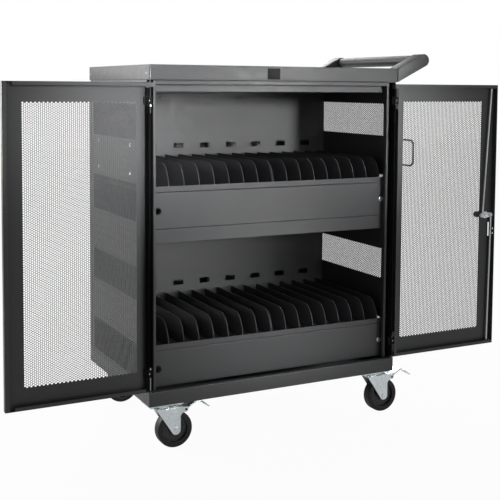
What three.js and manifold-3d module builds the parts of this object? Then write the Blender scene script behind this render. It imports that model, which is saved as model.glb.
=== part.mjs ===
// Laptop charging cart: a steel cabinet on casters with two device shelves,
// perforated front doors that fold right back, a three-point lock and a push handle.
// Millimetres, +Z up, the front faces -Y, the doors are shown open.

import * as THREE from 'three';
import { mergeVertices } from 'three/addons/utils/BufferGeometryUtils.js';
import Module from 'manifold-3d';

const wasm = await Module();
wasm.setup();

// Shared thicknesses and clearances
const SHEET = 1.5;
const FIT = 0.3;
const PIN_PLAY = 0.6;

// Facets of round shapes
const WELD = 1e-3;
const HOLE_SIDES = 8;
const PIN_SIDES = 12;
const BOSS_SIDES = 16;
const WHEEL_SIDES = 18;
const HEX_SIDES = 6;
const CORNER_STEPS = 3;
const BEND_STEPS = 8;
const CURVE_STEPS = 4;
const HOOK_STEPS = 24;

// Cabinet
const CABINET_WIDTH = 782;
const CABINET_DEPTH = 505;
const CORNER_RADIUS = 4;
const CASTER_HEIGHT = 130;
const BASE_HEIGHT = 39;
const LID_HEIGHT = 40;
const LOWER_FASCIA_HEIGHT = 115;
const LOWER_BAY_HEIGHT = 274;
const UPPER_FASCIA_HEIGHT = 154;
const UPPER_BAY_HEIGHT = 283;

// Front frame: stiles and header
const STILE_WIDTH = 26;
const STILE_EDGE = 7;
const LIP_WIDTH = 8;
const LIP_RETURN = 12;
const GUTTER_DEPTH = 18;
const REAR_RETURN = 22;
const HEADER_LIP = 12;
const HEADER_DROP = 18;
const HEADER_REACH = 22;

// Shelves, fascias, back walls
const SHELF_SETBACK = 2;
const SHELF_LIP = 16;
const TRAY_LIP = 39;
const FASCIA_RETURN = 15;
const FASCIA_HOLE_RADIUS = 7.8;
const FASCIA_HOLE_DROP = 66;
const FASCIA_HOLE_INSET = 40;
const BACK_COMPARTMENT = 74;
const WALL_HOLE_RADIUS = 4;
const WALL_HOLE_PITCH = 132;
const WALL_HOLE_COUNT = 4;
const WALL_HOLE_DROP = 50;
const CABLE_SLOT_WIDTH = 34;
const CABLE_SLOT_HEIGHT = 16;
const CABLE_SLOT_RISE = 90;

// Divider racks
const SLOTS_PER_RACK = 8;
const SLOT_PITCH = 45;
const DIVIDER_THICKNESS = 3;
const DIVIDER_HEIGHT = 72;
const DIVIDER_NOSE = 12;
const DIVIDER_SWEEP = 50;
const RACK_BASE = 2.5;
const RACK_INSET = 6;

// Side vents
const VENT_HOLE_RADIUS = 25;
const VENT_PITCH = 64;
const VENT_HEIGHT = 108;
const VENT_MARGIN = 60;
const DEVICE_VENT_RISE = 112;
const FASCIA_VENT_DROP = 100;

// Doors
const DOOR_DEPTH = 16;
const DOOR_CLEARANCE = 2;
const DOOR_GAP = 2;
const DOOR_BOTTOM_GAP = 3;
const DOOR_TOP_GAP = 6;
const HINGE_INSET = 5.5;
const HINGE_SETBACK = 7;
const DOOR_SIDE_GAP = 0.5;
const DOOR_OPEN_DEG = 180;
const WINDOW_HINGE_MARGIN = 41;
const WINDOW_FREE_MARGIN = 51;
const WINDOW_TOP_MARGIN = 49;
const WINDOW_BOTTOM_MARGIN = 51;
const EDGE_LIP = 12;
const RIM_LIP = 10;
const HINGE_LIP = 8;
const LIP_NOTCH = 13;
const HINGE_CHANNEL = 12.5;
const MESH_SHEET = 1.5;
const MESH_LAP = 9;
const MESH_HOLE_RADIUS = 26;
const MESH_PITCH = 64;

// Door pivots
const PIVOT_RADIUS = 2.5;
const PIVOT_REACH = 9;
const PIVOT_BLOCK_WIDTH = 21;
const PIVOT_BLOCK_HEIGHT = 22;
const PIVOT_BLOCK_RISE = 37;
const PIVOT_TAIL = 22;

// Three-point lock on the right front door
const LOCK_RISE = 409;
const LOCK_FREE_INSET = 27;
const LOCK_BODY_RADIUS = 11;
const LOCK_BOSS = 6;
const LOCK_STANDOFF = 2.5;
const SPINDLE_RADIUS = 6;
const HANDLE_BAR_LENGTH = 52;
const HANDLE_BAR_WIDTH = 18;
const HANDLE_BAR_DEPTH = 12;
const HANDLE_STEM = 8;
const CRANK_ARM = 17;
const CRANK_WIDTH = 15;
const CRANK_SHEET = 3;
const CRANK_PIN_RADIUS = 3;
const ROD_RADIUS = 3;
const KEEPER_SLOT_WIDTH = 5;
const KEEPER_SLOT_HEIGHT = 44;
const KEEPER_SLOT_DROP = 46;
const KEEPER_SLOT_INSET = 13;
const EDGE_HOLE_RADIUS = 2.5;
const EDGE_HOLE_DROPS = [44, 59];
const ROD_EYE_RADIUS = 7;
const ROD_TAB = 32;
const ROD_GUIDE_INSET = 18;
const ROD_SLOT_PLAY = 5;
const ROD_TIP_GAP = 3;
const GUIDE_HEIGHT = 10;
const GUIDE_WALL = 1.8;

// Push handle
const ARM_WIDTH = 50;
const ARM_REACH = 94;
const BAR_RISE = 26;
const BAR_RADIUS = 16;
const BAR_WALL = 2;
const BAR_END_MARGIN = 1;

// Cord hooks on the right side
const HOOK_RADIUS = 3;
const HOOK_BEND = 15;
const HOOK_OUT = 100;
const HOOK_TURN = 86;
const HOOK_SPAN = 78;
const HOOK_RISE = 28;
const FRONT_HOOK_DEPTH = 141;
const REAR_HOOK_DEPTH = 94;

// Power strips, switches and inlet
const STRIP_LENGTH = 560;
const STRIP_HEIGHT = 46;
const STRIP_DEPTH = 40;
const STRIP_DROP = 60;
const SWITCH_INSET = 45;
const ROCKER_LENGTH = 24;
const ROCKER_WIDTH = 14;
const ROCKER_THICKNESS = 8;
const ROCKER_POCKET = 9;
const INLET_WIDTH = 28;
const INLET_HEIGHT = 24;
const INLET_FLANGE = 9;
const INLET_FLANGE_SHEET = 2.5;
const INLET_DEPTH = 26;
const INLET_WALL = 2.5;
const INLET_BACK_INSET = 70;
const INLET_RISE = 70;

// Casters
const CASTER_SIDE_INSET = 52;
const CASTER_END_INSET = 40.5;
const PLATE_LENGTH = 100;
const PLATE_WIDTH = 70;
const PLATE_SHEET = 3.7;
const RACE_RADIUS = 26;
const RACE_HEIGHT = 4;
const KINGPIN_RADIUS = 6;
const FORK_SHEET = 3;
const FORK_GAP = 2.5;
const FORK_TOP_LENGTH = 58;
const FORK_FOOT_RADIUS = 13;
const TRAIL = 33;
const WHEEL_RADIUS = 50;
const WHEEL_WIDTH = 32;
const TREAD_DEPTH = 12;
const TREAD_EDGE = 4;
const DISC_INSET = 6;
const HUB_RADIUS = 14;
const AXLE_RADIUS = 5;
const AXLE_HEAD_RADIUS = 8;
const AXLE_HEAD = 4;
const PEDAL_PIVOT_X = 62;
const PEDAL_PIVOT_Z = 104;
const PEDAL_PIN_RADIUS = 3.5;
const PEDAL_CROWN_X = 98;
const PEDAL_CROWN_DROP = 5;
const PEDAL_TIP_X = 134;
const PEDAL_TIP_Z = 102;
const PEDAL_SHEET = 3;
const PEDAL_WIDTH = 35;

// Rear doors
const REAR_KNOB_RADIUS = 12;
const REAR_KNOB_PROUD = 4;
const REAR_BLADE_LENGTH = 30;
const REAR_BLADE_WIDTH = 14;
const REAR_BLADE_SHEET = 3;
const REAR_LOCK_INSET = 20;

// Levels and planes worked out from the sizes above
const HALF_WIDTH = CABINET_WIDTH / 2;
const FRONT = -CABINET_DEPTH / 2;
const BACK = CABINET_DEPTH / 2;
const BASE_BOTTOM = CASTER_HEIGHT;
const BASE_TOP = BASE_BOTTOM + BASE_HEIGHT;
const LOWER_LIP_TOP = BASE_TOP + LOWER_FASCIA_HEIGHT;
const TRAY_BOTTOM = LOWER_LIP_TOP + LOWER_BAY_HEIGHT;
const UPPER_LIP_TOP = TRAY_BOTTOM + UPPER_FASCIA_HEIGHT;
const LID_BOTTOM = UPPER_LIP_TOP + UPPER_BAY_HEIGHT;
const LID_TOP = LID_BOTTOM + LID_HEIGHT;
const FRAME_FRONT = FRONT + DOOR_DEPTH + DOOR_CLEARANCE;
const FRAME_BACK = BACK - DOOR_DEPTH - DOOR_CLEARANCE;
const SHELF_FRONT = FRAME_FRONT + GUTTER_DEPTH + SHEET + SHELF_SETBACK;
const WALL_FRONT = FRAME_BACK - BACK_COMPARTMENT;
const INNER_HALF = HALF_WIDTH - SHEET - FIT;
const HINGE_X = HALF_WIDTH - HINGE_INSET;
const HINGE_FRONT_Y = FRONT + HINGE_SETBACK;
const HINGE_BACK_Y = BACK - HINGE_SETBACK;
const DOOR_BOTTOM = BASE_TOP + DOOR_BOTTOM_GAP;
const DOOR_TOP = LID_BOTTOM - DOOR_TOP_GAP;
const DOOR_FREE = DOOR_GAP / 2;
const DOOR_HINGE_EDGE = HALF_WIDTH - DOOR_SIDE_GAP;
const LOCK_X = DOOR_FREE + LOCK_FREE_INSET;
const LOCK_Z = DOOR_BOTTOM + LOCK_RISE;
const GUIDE_X = DOOR_FREE + ROD_GUIDE_INSET;
const CRANK_FRONT = FRONT + SHEET + LOCK_STANDOFF;
const ROD_Y = CRANK_FRONT + CRANK_SHEET + FIT + CRANK_SHEET / 2;
const PIVOT_HOLE = PIVOT_RADIUS + PIN_PLAY;

// Finishes
const BLACK_STEEL = { color: 0x34353a, roughness: 0.42, metalness: 0.35 };
const DARK_SHEET = { color: 0x232427, roughness: 0.5, metalness: 0.3 };
const ZINC = { color: 0xb4bcc4, roughness: 0.28, metalness: 0.95 };
const BLACK_PLASTIC = { color: 0x17181a, roughness: 0.55, metalness: 0 };
const BLACK_RUBBER = { color: 0x1b1c1e, roughness: 0.7, metalness: 0 };

// Turning geometry into solids and back

function toSolid(geometry) {
  const plain = geometry.clone();
  plain.deleteAttribute('normal');
  plain.deleteAttribute('uv');
  const merged = mergeVertices(plain, WELD);
  return new wasm.Manifold(new wasm.Mesh({
    numProp: 3,
    vertProperties: new Float32Array(merged.attributes.position.array),
    triVerts: new Uint32Array(merged.index.array),
  }));
}

function toGeometry(solid) {
  const mesh = solid.getMesh();
  const geometry = new THREE.BufferGeometry();
  geometry.setAttribute('position', new THREE.BufferAttribute(mesh.vertProperties, 3));
  geometry.setIndex(new THREE.BufferAttribute(mesh.triVerts, 1));
  geometry.computeVertexNormals();
  return geometry;
}

function joined(...solids) {
  return solids.reduce((whole, next) => whole.add(next));
}

function without(body, ...tools) {
  return tools.reduce((rest, tool) => rest.subtract(tool), body);
}

// A block between pairs of coordinates, in any order
function block([x0, x1], [y0, y1], [z0, z1]) {
  const geometry = new THREE.BoxGeometry(Math.abs(x1 - x0), Math.abs(y1 - y0), Math.abs(z1 - z0));
  geometry.translate((x0 + x1) / 2, (y0 + y1) / 2, (z0 + z1) / 2);
  return toSolid(geometry);
}

// An outline drawn as (y,z), (x,z) or (x,y), pushed along x, y or z
function prism(outline, axis, from, to) {
  const shape = outline instanceof THREE.Shape ? outline : new THREE.Shape(outline);
  const options = { depth: to - from, bevelEnabled: false, curveSegments: CURVE_STEPS };
  const geometry = new THREE.ExtrudeGeometry(shape, options);
  const turn = new THREE.Matrix4();
  const [unitX, unitY, unitZ] = [0, 1, 2].map((i) => new THREE.Vector3().setComponent(i, 1));
  if (axis === 'x') {
    turn.makeBasis(unitY, unitZ, unitX).setPosition(from, 0, 0);
  } else if (axis === 'y') {
    turn.makeBasis(unitX, unitZ, unitY.clone().negate()).setPosition(0, to, 0);
  } else {
    turn.setPosition(0, 0, from);
  }
  return toSolid(geometry.applyMatrix4(turn));
}

function point(a, b) {
  return new THREE.Vector2(a, b);
}

function ordered(a, b) {
  return [Math.min(a, b), Math.max(a, b)];
}

// A span of the given width around a middle
function around(middle, width) {
  return [middle - width / 2, middle + width / 2];
}

function arcPoints(centre, radius, startAngle, endAngle, steps) {
  const points = [];
  for (let i = 0; i <= steps; i += 1) {
    const angle = startAngle + ((endAngle - startAngle) * i) / steps;
    points.push(point(centre.x + radius * Math.cos(angle), centre.y + radius * Math.sin(angle)));
  }
  return points;
}

function ring(a, b, radius, sides) {
  return arcPoints(point(a, b), radius, 0, 2 * Math.PI, sides).slice(0, sides);
}

function rod(axis, a, b, radius, from, to, sides = PIN_SIDES) {
  return prism(ring(a, b, radius, sides), axis, from, to);
}

function roundedRectangle([x0, x1], [y0, y1], radius) {
  const corners = [[x1, y1, 0], [x0, y1, 1], [x0, y0, 2], [x1, y0, 3]];
  return corners.flatMap(([x, y, quarter]) => {
    const start = (quarter * Math.PI) / 2;
    const centre = point(x + (x > x0 ? -radius : radius), y + (y > y0 ? -radius : radius));
    return arcPoints(centre, radius, start, start + Math.PI / 2, CORNER_STEPS);
  });
}

// Closed outline of a sheet folded along a path, with its thickness on the path's left
function foldedSheet(path, thickness = SHEET) {
  const inner = path.map((corner, i) => {
    const before = path[Math.max(i - 1, 0)];
    const after = path[Math.min(i + 1, path.length - 1)];
    const legIn = (i > 0 ? corner.clone().sub(before) : after.clone().sub(corner)).normalize();
    const legOut = (i < path.length - 1 ? after.clone().sub(corner) : legIn.clone()).normalize();
    const normalIn = point(-legIn.y, legIn.x);
    const normalOut = point(-legOut.y, legOut.x);
    const mitre = normalIn.clone().add(normalOut).normalize();
    return corner.clone().addScaledVector(mitre, thickness / mitre.dot(normalIn));
  });
  return [...path, ...inner.reverse()];
}

// Where a line from an outside point touches a circle, on the chosen side
function tangentPoint(from, centre, radius, side) {
  const toCentre = centre.clone().sub(from);
  const distance = toCentre.length();
  const swing = side * Math.acos(radius / distance);
  const angle = Math.atan2(-toCentre.y, -toCentre.x) + swing;
  return point(centre.x + radius * Math.cos(angle), centre.y + radius * Math.sin(angle));
}

const cart = new THREE.Group();

function addPart(parent, name, shape, finish) {
  const geometry = shape instanceof THREE.BufferGeometry ? shape : toGeometry(shape);
  const mesh = new THREE.Mesh(geometry, new THREE.MeshStandardMaterial(finish));
  mesh.name = name;
  parent.add(mesh);
  return mesh;
}

// Staggered rows of hexagonal holes that fill a rectangle, as (a,b) centres
function staggeredCentres([a0, a1], [b0, b1], pitch, radius) {
  const rowStep = pitch * Math.sqrt(3) / 2;
  const rows = Math.floor((b1 - b0 - 2 * radius) / rowStep) + 1;
  const columns = Math.floor((a1 - a0 - 2 * radius) / pitch) + 1;
  const midA = (a0 + a1) / 2;
  const midB = (b0 + b1) / 2;
  const centres = [];
  for (let row = 0; row < rows; row += 1) {
    const shifted = row % 2 === 1;
    const inRow = shifted ? columns - 1 : columns;
    for (let column = 0; column < inRow; column += 1) {
      const a = midA + (column - (inRow - 1) / 2) * pitch;
      const b = midB + (row - (rows - 1) / 2) * rowStep;
      centres.push([a, b]);
    }
  }
  return centres;
}

function perforation(axis, centres, radius, from, to) {
  return centres.map(([a, b]) => rod(axis, a, b, radius, from, to, HEX_SIDES));
}

// Slot that lets a lock rod pass a flange, as it swings a little sideways
function rodSlot(x, y, from, to) {
  const half = ROD_RADIUS + ROD_SLOT_PLAY;
  const depth = ROD_RADIUS + PIN_PLAY;
  return block([x - half, x + half], [y - depth, y + depth], [from, to]);
}

// Holes that the door pivots and lock rods use in the lid's and base's turned-in flanges
function frameHoles(from, to) {
  const holes = [rodSlot(GUIDE_X, ROD_Y, from, to)];
  for (const side of [-1, 1]) {
    holes.push(rod('z', side * HINGE_X, HINGE_FRONT_Y, PIVOT_HOLE, from, to, HOLE_SIDES));
    holes.push(rod('z', side * HINGE_X, HINGE_BACK_Y, PIVOT_HOLE, from, to, HOLE_SIDES));
  }
  return holes;
}

// A shallow pan with turned-in flanges along its front and back rims
function panWithFlanges(outerZ, hollowZ, flangeZ) {
  const outline = roundedRectangle([-HALF_WIDTH, HALF_WIDTH], [FRONT, BACK], CORNER_RADIUS);
  const shell = without(
    prism(outline, 'z', ...outerZ),
    block([-HALF_WIDTH + SHEET, HALF_WIDTH - SHEET], [FRONT + SHEET, BACK - SHEET], hollowZ),
  );
  const across = [-HALF_WIDTH + SHEET / 2, HALF_WIDTH - SHEET / 2];
  const frontFlange = block(across, [FRONT + SHEET / 2, FRONT + DOOR_DEPTH], flangeZ);
  const backFlange = block(across, [BACK - DOOR_DEPTH, BACK - SHEET / 2], flangeZ);
  const holes = frameHoles(flangeZ[0] - SHEET, flangeZ[1] + SHEET);
  return without(joined(shell, frontFlange, backFlange), ...holes);
}

function buildShell() {
  const lid = panWithFlanges(
    [LID_BOTTOM, LID_TOP], [LID_BOTTOM - SHEET, LID_TOP - SHEET], [LID_BOTTOM, LID_BOTTOM + SHEET],
  );
  addPart(cart, 'lid', lid, BLACK_STEEL);
  const base = panWithFlanges(
    [BASE_BOTTOM, BASE_TOP], [BASE_BOTTOM + SHEET, BASE_TOP + SHEET], [BASE_TOP - SHEET, BASE_TOP],
  );
  addPart(cart, 'base_pan', base, BLACK_STEEL);
}

// Plan of a side panel: rear return, outer wall, door gutter and inner lip
function sidePanelOutline(side) {
  const lipOuter = HALF_WIDTH - STILE_WIDTH + LIP_WIDTH;
  const path = [
    point(HALF_WIDTH - STILE_WIDTH, FRAME_FRONT + LIP_RETURN),
    point(HALF_WIDTH - STILE_WIDTH, FRAME_FRONT),
    point(lipOuter, FRAME_FRONT),
    point(lipOuter, FRAME_FRONT + GUTTER_DEPTH),
    point(HALF_WIDTH - STILE_EDGE, FRAME_FRONT + GUTTER_DEPTH),
    point(HALF_WIDTH - STILE_EDGE, FRAME_FRONT),
    point(HALF_WIDTH, FRAME_FRONT),
    point(HALF_WIDTH, FRAME_BACK),
    point(HALF_WIDTH - REAR_RETURN, FRAME_BACK),
  ];
  return foldedSheet(path).map((corner) => point(side * corner.x, corner.y));
}

function ventBands() {
  return [LOWER_LIP_TOP, UPPER_LIP_TOP].flatMap((lipTop) => [
    [lipTop - FASCIA_VENT_DROP, lipTop - FASCIA_VENT_DROP + VENT_HEIGHT],
    [lipTop + DEVICE_VENT_RISE, lipTop + DEVICE_VENT_RISE + VENT_HEIGHT],
  ]);
}

function inletPlace() {
  return { y: BACK - INLET_BACK_INSET, z: LOWER_LIP_TOP + INLET_RISE };
}

function buildSidePanels() {
  const bottom = BASE_TOP + FIT;
  const top = LID_BOTTOM - FIT;
  const ventDepth = [SHELF_FRONT + VENT_MARGIN / 2, FRAME_BACK - VENT_MARGIN];
  for (const [name, side] of [['left_side_panel', -1], ['right_side_panel', 1]]) {
    const walls = ordered(side * (HALF_WIDTH - 2 * SHEET), side * (HALF_WIDTH + SHEET));
    const vents = ventBands().flatMap((band) => perforation(
      'x', staggeredCentres(ventDepth, band, VENT_PITCH, VENT_HOLE_RADIUS), VENT_HOLE_RADIUS, ...walls,
    ));
    let panel = without(prism(sidePanelOutline(side), 'z', bottom, top), ...vents);
    if (side > 0) {
      const { y, z } = inletPlace();
      const [mouthY, mouthZ] = [around(y, INLET_WIDTH + 2 * FIT), around(z, INLET_HEIGHT + 2 * FIT)];
      panel = without(panel, block(walls, mouthY, mouthZ));
    }
    addPart(cart, name, panel, BLACK_STEEL);
  }
}

// Rail below the lid, between the stiles: front lip, shelf and drop
function buildHeader() {
  const lipTop = LID_BOTTOM - FIT;
  const lipBottom = lipTop - HEADER_LIP;
  const path = [
    point(FRAME_FRONT, lipTop),
    point(FRAME_FRONT, lipBottom),
    point(FRAME_FRONT + HEADER_REACH, lipBottom),
    point(FRAME_FRONT + HEADER_REACH, lipBottom - HEADER_DROP),
  ];
  const halfLength = HALF_WIDTH - STILE_WIDTH - FIT;
  addPart(cart, 'front_header', prism(foldedSheet(path), 'x', -halfLength, halfLength), BLACK_STEEL);
}

// Shelf with a turned-up front lip, running back past the wall to the rear doors
function shelf(lipTop) {
  const path = [
    point(SHELF_FRONT, lipTop),
    point(SHELF_FRONT, lipTop - SHELF_LIP),
    point(FRAME_BACK - SHEET - FIT, lipTop - SHELF_LIP),
  ];
  return prism(foldedSheet(path), 'x', -INNER_HALF, INNER_HALF);
}

// Cover below a shelf, folded back along its top and bottom, with a grommet hole on its left
function fascia(bottom, lipTop) {
  const top = lipTop - SHELF_LIP - FIT;
  const path = [
    point(SHELF_FRONT + FASCIA_RETURN, top),
    point(SHELF_FRONT, top),
    point(SHELF_FRONT, bottom),
    point(SHELF_FRONT + FASCIA_RETURN, bottom),
  ];
  const holeX = -HALF_WIDTH + FASCIA_HOLE_INSET;
  const holeZ = lipTop - FASCIA_HOLE_DROP;
  const hole = rod('y', holeX, holeZ, FASCIA_HOLE_RADIUS, SHELF_FRONT - SHEET, SHELF_FRONT + 2 * SHEET);
  return without(prism(foldedSheet(path), 'x', -INNER_HALF, INNER_HALF), hole);
}

// Tray under the upper shelf that carries the adapters
function adapterTray() {
  const path = [
    point(SHELF_FRONT, TRAY_BOTTOM + TRAY_LIP),
    point(SHELF_FRONT, TRAY_BOTTOM),
    point(WALL_FRONT - FIT, TRAY_BOTTOM),
    point(WALL_FRONT - FIT, TRAY_BOTTOM + TRAY_LIP),
  ];
  return prism(foldedSheet(path), 'x', -INNER_HALF, INNER_HALF);
}

// Wall at the back of a device bay, with cable slots low down and a row of holes near its top
function backWall(bottom, top) {
  const body = block([-INNER_HALF, INNER_HALF], [WALL_FRONT, WALL_FRONT + SHEET], [bottom, top]);
  const through = [WALL_FRONT - SHEET, WALL_FRONT + 2 * SHEET];
  const tools = [];
  for (let i = 0; i < WALL_HOLE_COUNT; i += 1) {
    const x = (i - (WALL_HOLE_COUNT - 1) / 2) * WALL_HOLE_PITCH;
    tools.push(rod('y', x, top - WALL_HOLE_DROP, WALL_HOLE_RADIUS, ...through, HEX_SIDES));
  }
  for (let i = 0; i < SLOTS_PER_RACK; i += 1) {
    const x = (i - (SLOTS_PER_RACK - 1) / 2) * 2 * SLOT_PITCH;
    const z = bottom + CABLE_SLOT_RISE;
    tools.push(block(around(x, CABLE_SLOT_WIDTH), through, [z, z + CABLE_SLOT_HEIGHT]));
  }
  return without(body, ...tools);
}

function buildShelves() {
  addPart(cart, 'lower_shelf', shelf(LOWER_LIP_TOP), BLACK_STEEL);
  addPart(cart, 'upper_shelf', shelf(UPPER_LIP_TOP), BLACK_STEEL);
  addPart(cart, 'lower_fascia', fascia(BASE_TOP + FIT, LOWER_LIP_TOP), BLACK_STEEL);
  addPart(cart, 'upper_fascia', fascia(TRAY_BOTTOM + TRAY_LIP + FIT, UPPER_LIP_TOP), BLACK_STEEL);
  addPart(cart, 'upper_adapter_tray', adapterTray(), BLACK_STEEL);
  const floorRise = SHELF_LIP - SHEET - FIT;
  const lowerWall = backWall(LOWER_LIP_TOP - floorRise, UPPER_LIP_TOP - SHELF_LIP - FIT);
  addPart(cart, 'lower_back_wall', lowerWall, BLACK_STEEL);
  addPart(cart, 'upper_back_wall', backWall(UPPER_LIP_TOP - floorRise, LID_BOTTOM - FIT), BLACK_STEEL);
}

// Side view of one divider: low nose, a swept rise and a level top
function dividerOutline(floor) {
  const front = SHELF_FRONT + SHEET + RACK_INSET;
  const back = WALL_FRONT - RACK_INSET;
  const shape = new THREE.Shape();
  shape.moveTo(front, floor);
  shape.lineTo(back, floor);
  shape.lineTo(back, floor + DIVIDER_HEIGHT);
  shape.lineTo(front + DIVIDER_SWEEP, floor + DIVIDER_HEIGHT);
  shape.quadraticCurveTo(front + DIVIDER_SWEEP / 4, floor + DIVIDER_HEIGHT, front, floor + DIVIDER_NOSE);
  return shape;
}

function buildRacks() {
  const rackWidth = SLOTS_PER_RACK * SLOT_PITCH;
  for (const [level, lipTop] of [['lower', LOWER_LIP_TOP], ['upper', UPPER_LIP_TOP]]) {
    const floor = lipTop - SHELF_LIP + SHEET + FIT;
    const outline = dividerOutline(floor);
    for (const [name, side] of [['left', -1], ['right', 1]]) {
      const [x0, x1] = ordered(side * FIT, side * (FIT + rackWidth + DIVIDER_THICKNESS));
      const depth = [SHELF_FRONT + SHEET + RACK_INSET, WALL_FRONT - RACK_INSET];
      const plates = [block([x0, x1], depth, [floor, floor + RACK_BASE])];
      for (let i = 0; i <= SLOTS_PER_RACK; i += 1) {
        const x = x0 + i * SLOT_PITCH;
        plates.push(prism(outline, 'x', x, x + DIVIDER_THICKNESS));
      }
      addPart(cart, `${level}_${name}_rack`, joined(...plates), BLACK_PLASTIC);
    }
  }
}

// Push handle: two folded arms on the lid's right side, with a round bar between them
function barCentre() {
  return point(HALF_WIDTH + ARM_REACH, LID_TOP + BAR_RISE);
}

function armOutlines() {
  const centre = barCentre();
  const endRadius = BAR_RADIUS + BAR_END_MARGIN + SHEET;
  const rootLow = point(HALF_WIDTH + FIT, LID_BOTTOM);
  const rootHigh = point(HALF_WIDTH + FIT, LID_TOP);
  const low = tangentPoint(rootLow, centre, endRadius, 1);
  const high = tangentPoint(rootHigh, centre, endRadius, -1);
  const startAngle = Math.atan2(low.y - centre.y, low.x - centre.x);
  const endAngle = Math.atan2(high.y - centre.y, high.x - centre.x);
  const end = arcPoints(centre, endRadius, startAngle, endAngle, BEND_STEPS);
  return { plate: [rootLow, ...end, rootHigh], flange: foldedSheet([...end, rootHigh, rootLow]) };
}

function buildHandle() {
  const centre = barCentre();
  const { plate, flange } = armOutlines();
  const ends = [['handle_front_arm', FRONT, 1], ['handle_rear_arm', BACK, -1]];
  for (const [name, outerY, inward] of ends) {
    const innerY = outerY + inward * ARM_WIDTH;
    const through = ordered(innerY - inward * 2 * SHEET, innerY + inward * SHEET);
    const innerPlate = without(
      prism(plate, 'y', ...ordered(innerY - inward * SHEET, innerY)),
      rod('y', centre.x, centre.y, BAR_RADIUS + FIT, ...through, BOSS_SIDES),
    );
    const outerPlate = prism(plate, 'y', ...ordered(outerY, outerY + inward * SHEET));
    const arm = joined(outerPlate, innerPlate, prism(flange, 'y', ...ordered(outerY, innerY)));
    addPart(cart, name, arm, BLACK_STEEL);
  }
  const halfBar = BACK - SHEET - FIT;
  const tube = rod('y', centre.x, centre.y, BAR_RADIUS, -halfBar, halfBar, BOSS_SIDES);
  const bore = rod('y', centre.x, centre.y, BAR_RADIUS - BAR_WALL, -BACK, BACK, BOSS_SIDES);
  addPart(cart, 'handle_bar', without(tube, bore), BLACK_STEEL);
}

// Cord hook: a bent rod whose two legs stand out of the side panel and turn away from each other
function hookGeometry(rootY, turn) {
  const low = UPPER_LIP_TOP + HOOK_RISE;
  const high = low + HOOK_SPAN;
  const rootX = HALF_WIDTH + FIT;
  const outX = HALF_WIDTH + HOOK_OUT;
  const tipY = rootY + turn * HOOK_TURN;
  const corners = [
    [rootX, rootY, low], [outX, rootY, low], [outX, tipY, low],
    [outX, tipY, high], [outX, rootY, high], [rootX, rootY, high],
  ].map((corner) => new THREE.Vector3(...corner));
  const path = new THREE.CurvePath();
  let start = corners[0];
  for (let i = 1; i < corners.length; i += 1) {
    const corner = corners[i];
    if (i === corners.length - 1) {
      path.add(new THREE.LineCurve3(start, corner));
      break;
    }
    const before = corner.clone().add(start.clone().sub(corner).setLength(HOOK_BEND));
    const after = corner.clone().add(corners[i + 1].clone().sub(corner).setLength(HOOK_BEND));
    path.add(new THREE.LineCurve3(start, before));
    path.add(new THREE.QuadraticBezierCurve3(before, corner, after));
    start = after;
  }
  const section = new THREE.Shape(ring(0, 0, HOOK_RADIUS, HEX_SIDES));
  return new THREE.ExtrudeGeometry(section, { extrudePath: path, steps: HOOK_STEPS, bevelEnabled: false });
}

function buildCordHooks() {
  const front = hookGeometry(FRONT + FRONT_HOOK_DEPTH, -1);
  addPart(cart, 'front_cord_hook', toSolid(front), BLACK_STEEL);
  const rear = hookGeometry(BACK - REAR_HOOK_DEPTH, 1);
  addPart(cart, 'rear_cord_hook', toSolid(rear), BLACK_STEEL);
}

// Power strips on the back walls, each with a rocker switch, and the mains inlet
function buildPower() {
  const stripFront = WALL_FRONT + SHEET + FIT;
  const stripBack = stripFront + STRIP_DEPTH;
  const levels = [['lower', TRAY_BOTTOM], ['upper', LID_BOTTOM]];
  for (const [level, ceiling] of levels) {
    const top = ceiling - STRIP_DROP;
    const middle = top - STRIP_HEIGHT / 2;
    const outline = roundedRectangle([stripFront, stripBack], [top - STRIP_HEIGHT, top], CORNER_RADIUS);
    const strip = prism(outline, 'x', -STRIP_LENGTH / 2, STRIP_LENGTH / 2);
    const rockerX = STRIP_LENGTH / 2 - SWITCH_INSET;
    const pocket = block(
      around(rockerX, ROCKER_LENGTH + 2 * PIN_PLAY), [stripBack - ROCKER_POCKET, stripBack + SHEET],
      around(middle, ROCKER_WIDTH + 2 * FIT),
    );
    addPart(cart, `${level}_power_strip`, without(strip, pocket), BLACK_PLASTIC);
    const pivotY = stripBack - ROCKER_POCKET / 2;
    const halfLength = ROCKER_LENGTH / 2;
    const profile = [
      point(rockerX - halfLength, pivotY + ROCKER_THICKNESS / 2),
      point(rockerX - halfLength, pivotY),
      point(rockerX, pivotY - ROCKER_POCKET / 2 + FIT),
      point(rockerX + halfLength, pivotY),
      point(rockerX + halfLength, pivotY + ROCKER_THICKNESS / 2),
      point(rockerX, pivotY + ROCKER_THICKNESS / 4),
    ];
    const rocker = prism(profile, 'z', ...around(middle, ROCKER_WIDTH));
    addPart(cart, `${level}_switch_rocker`, rocker, BLACK_PLASTIC);
  }
  const { y, z } = inletPlace();
  const outside = HALF_WIDTH + FIT;
  const layer = (from, to, margin) => block(
    [from, to], around(y, INLET_WIDTH + 2 * margin), around(z, INLET_HEIGHT + 2 * margin),
  );
  const inlet = without(
    joined(
      layer(outside - INLET_DEPTH, outside + SHEET / 2, 0),
      layer(outside, outside + INLET_FLANGE_SHEET, INLET_FLANGE),
    ),
    layer(outside - INLET_DEPTH + INLET_WALL, outside + 2 * INLET_FLANGE_SHEET, -INLET_WALL),
  );
  addPart(cart, 'power_inlet', inlet, BLACK_PLASTIC);
}

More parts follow.
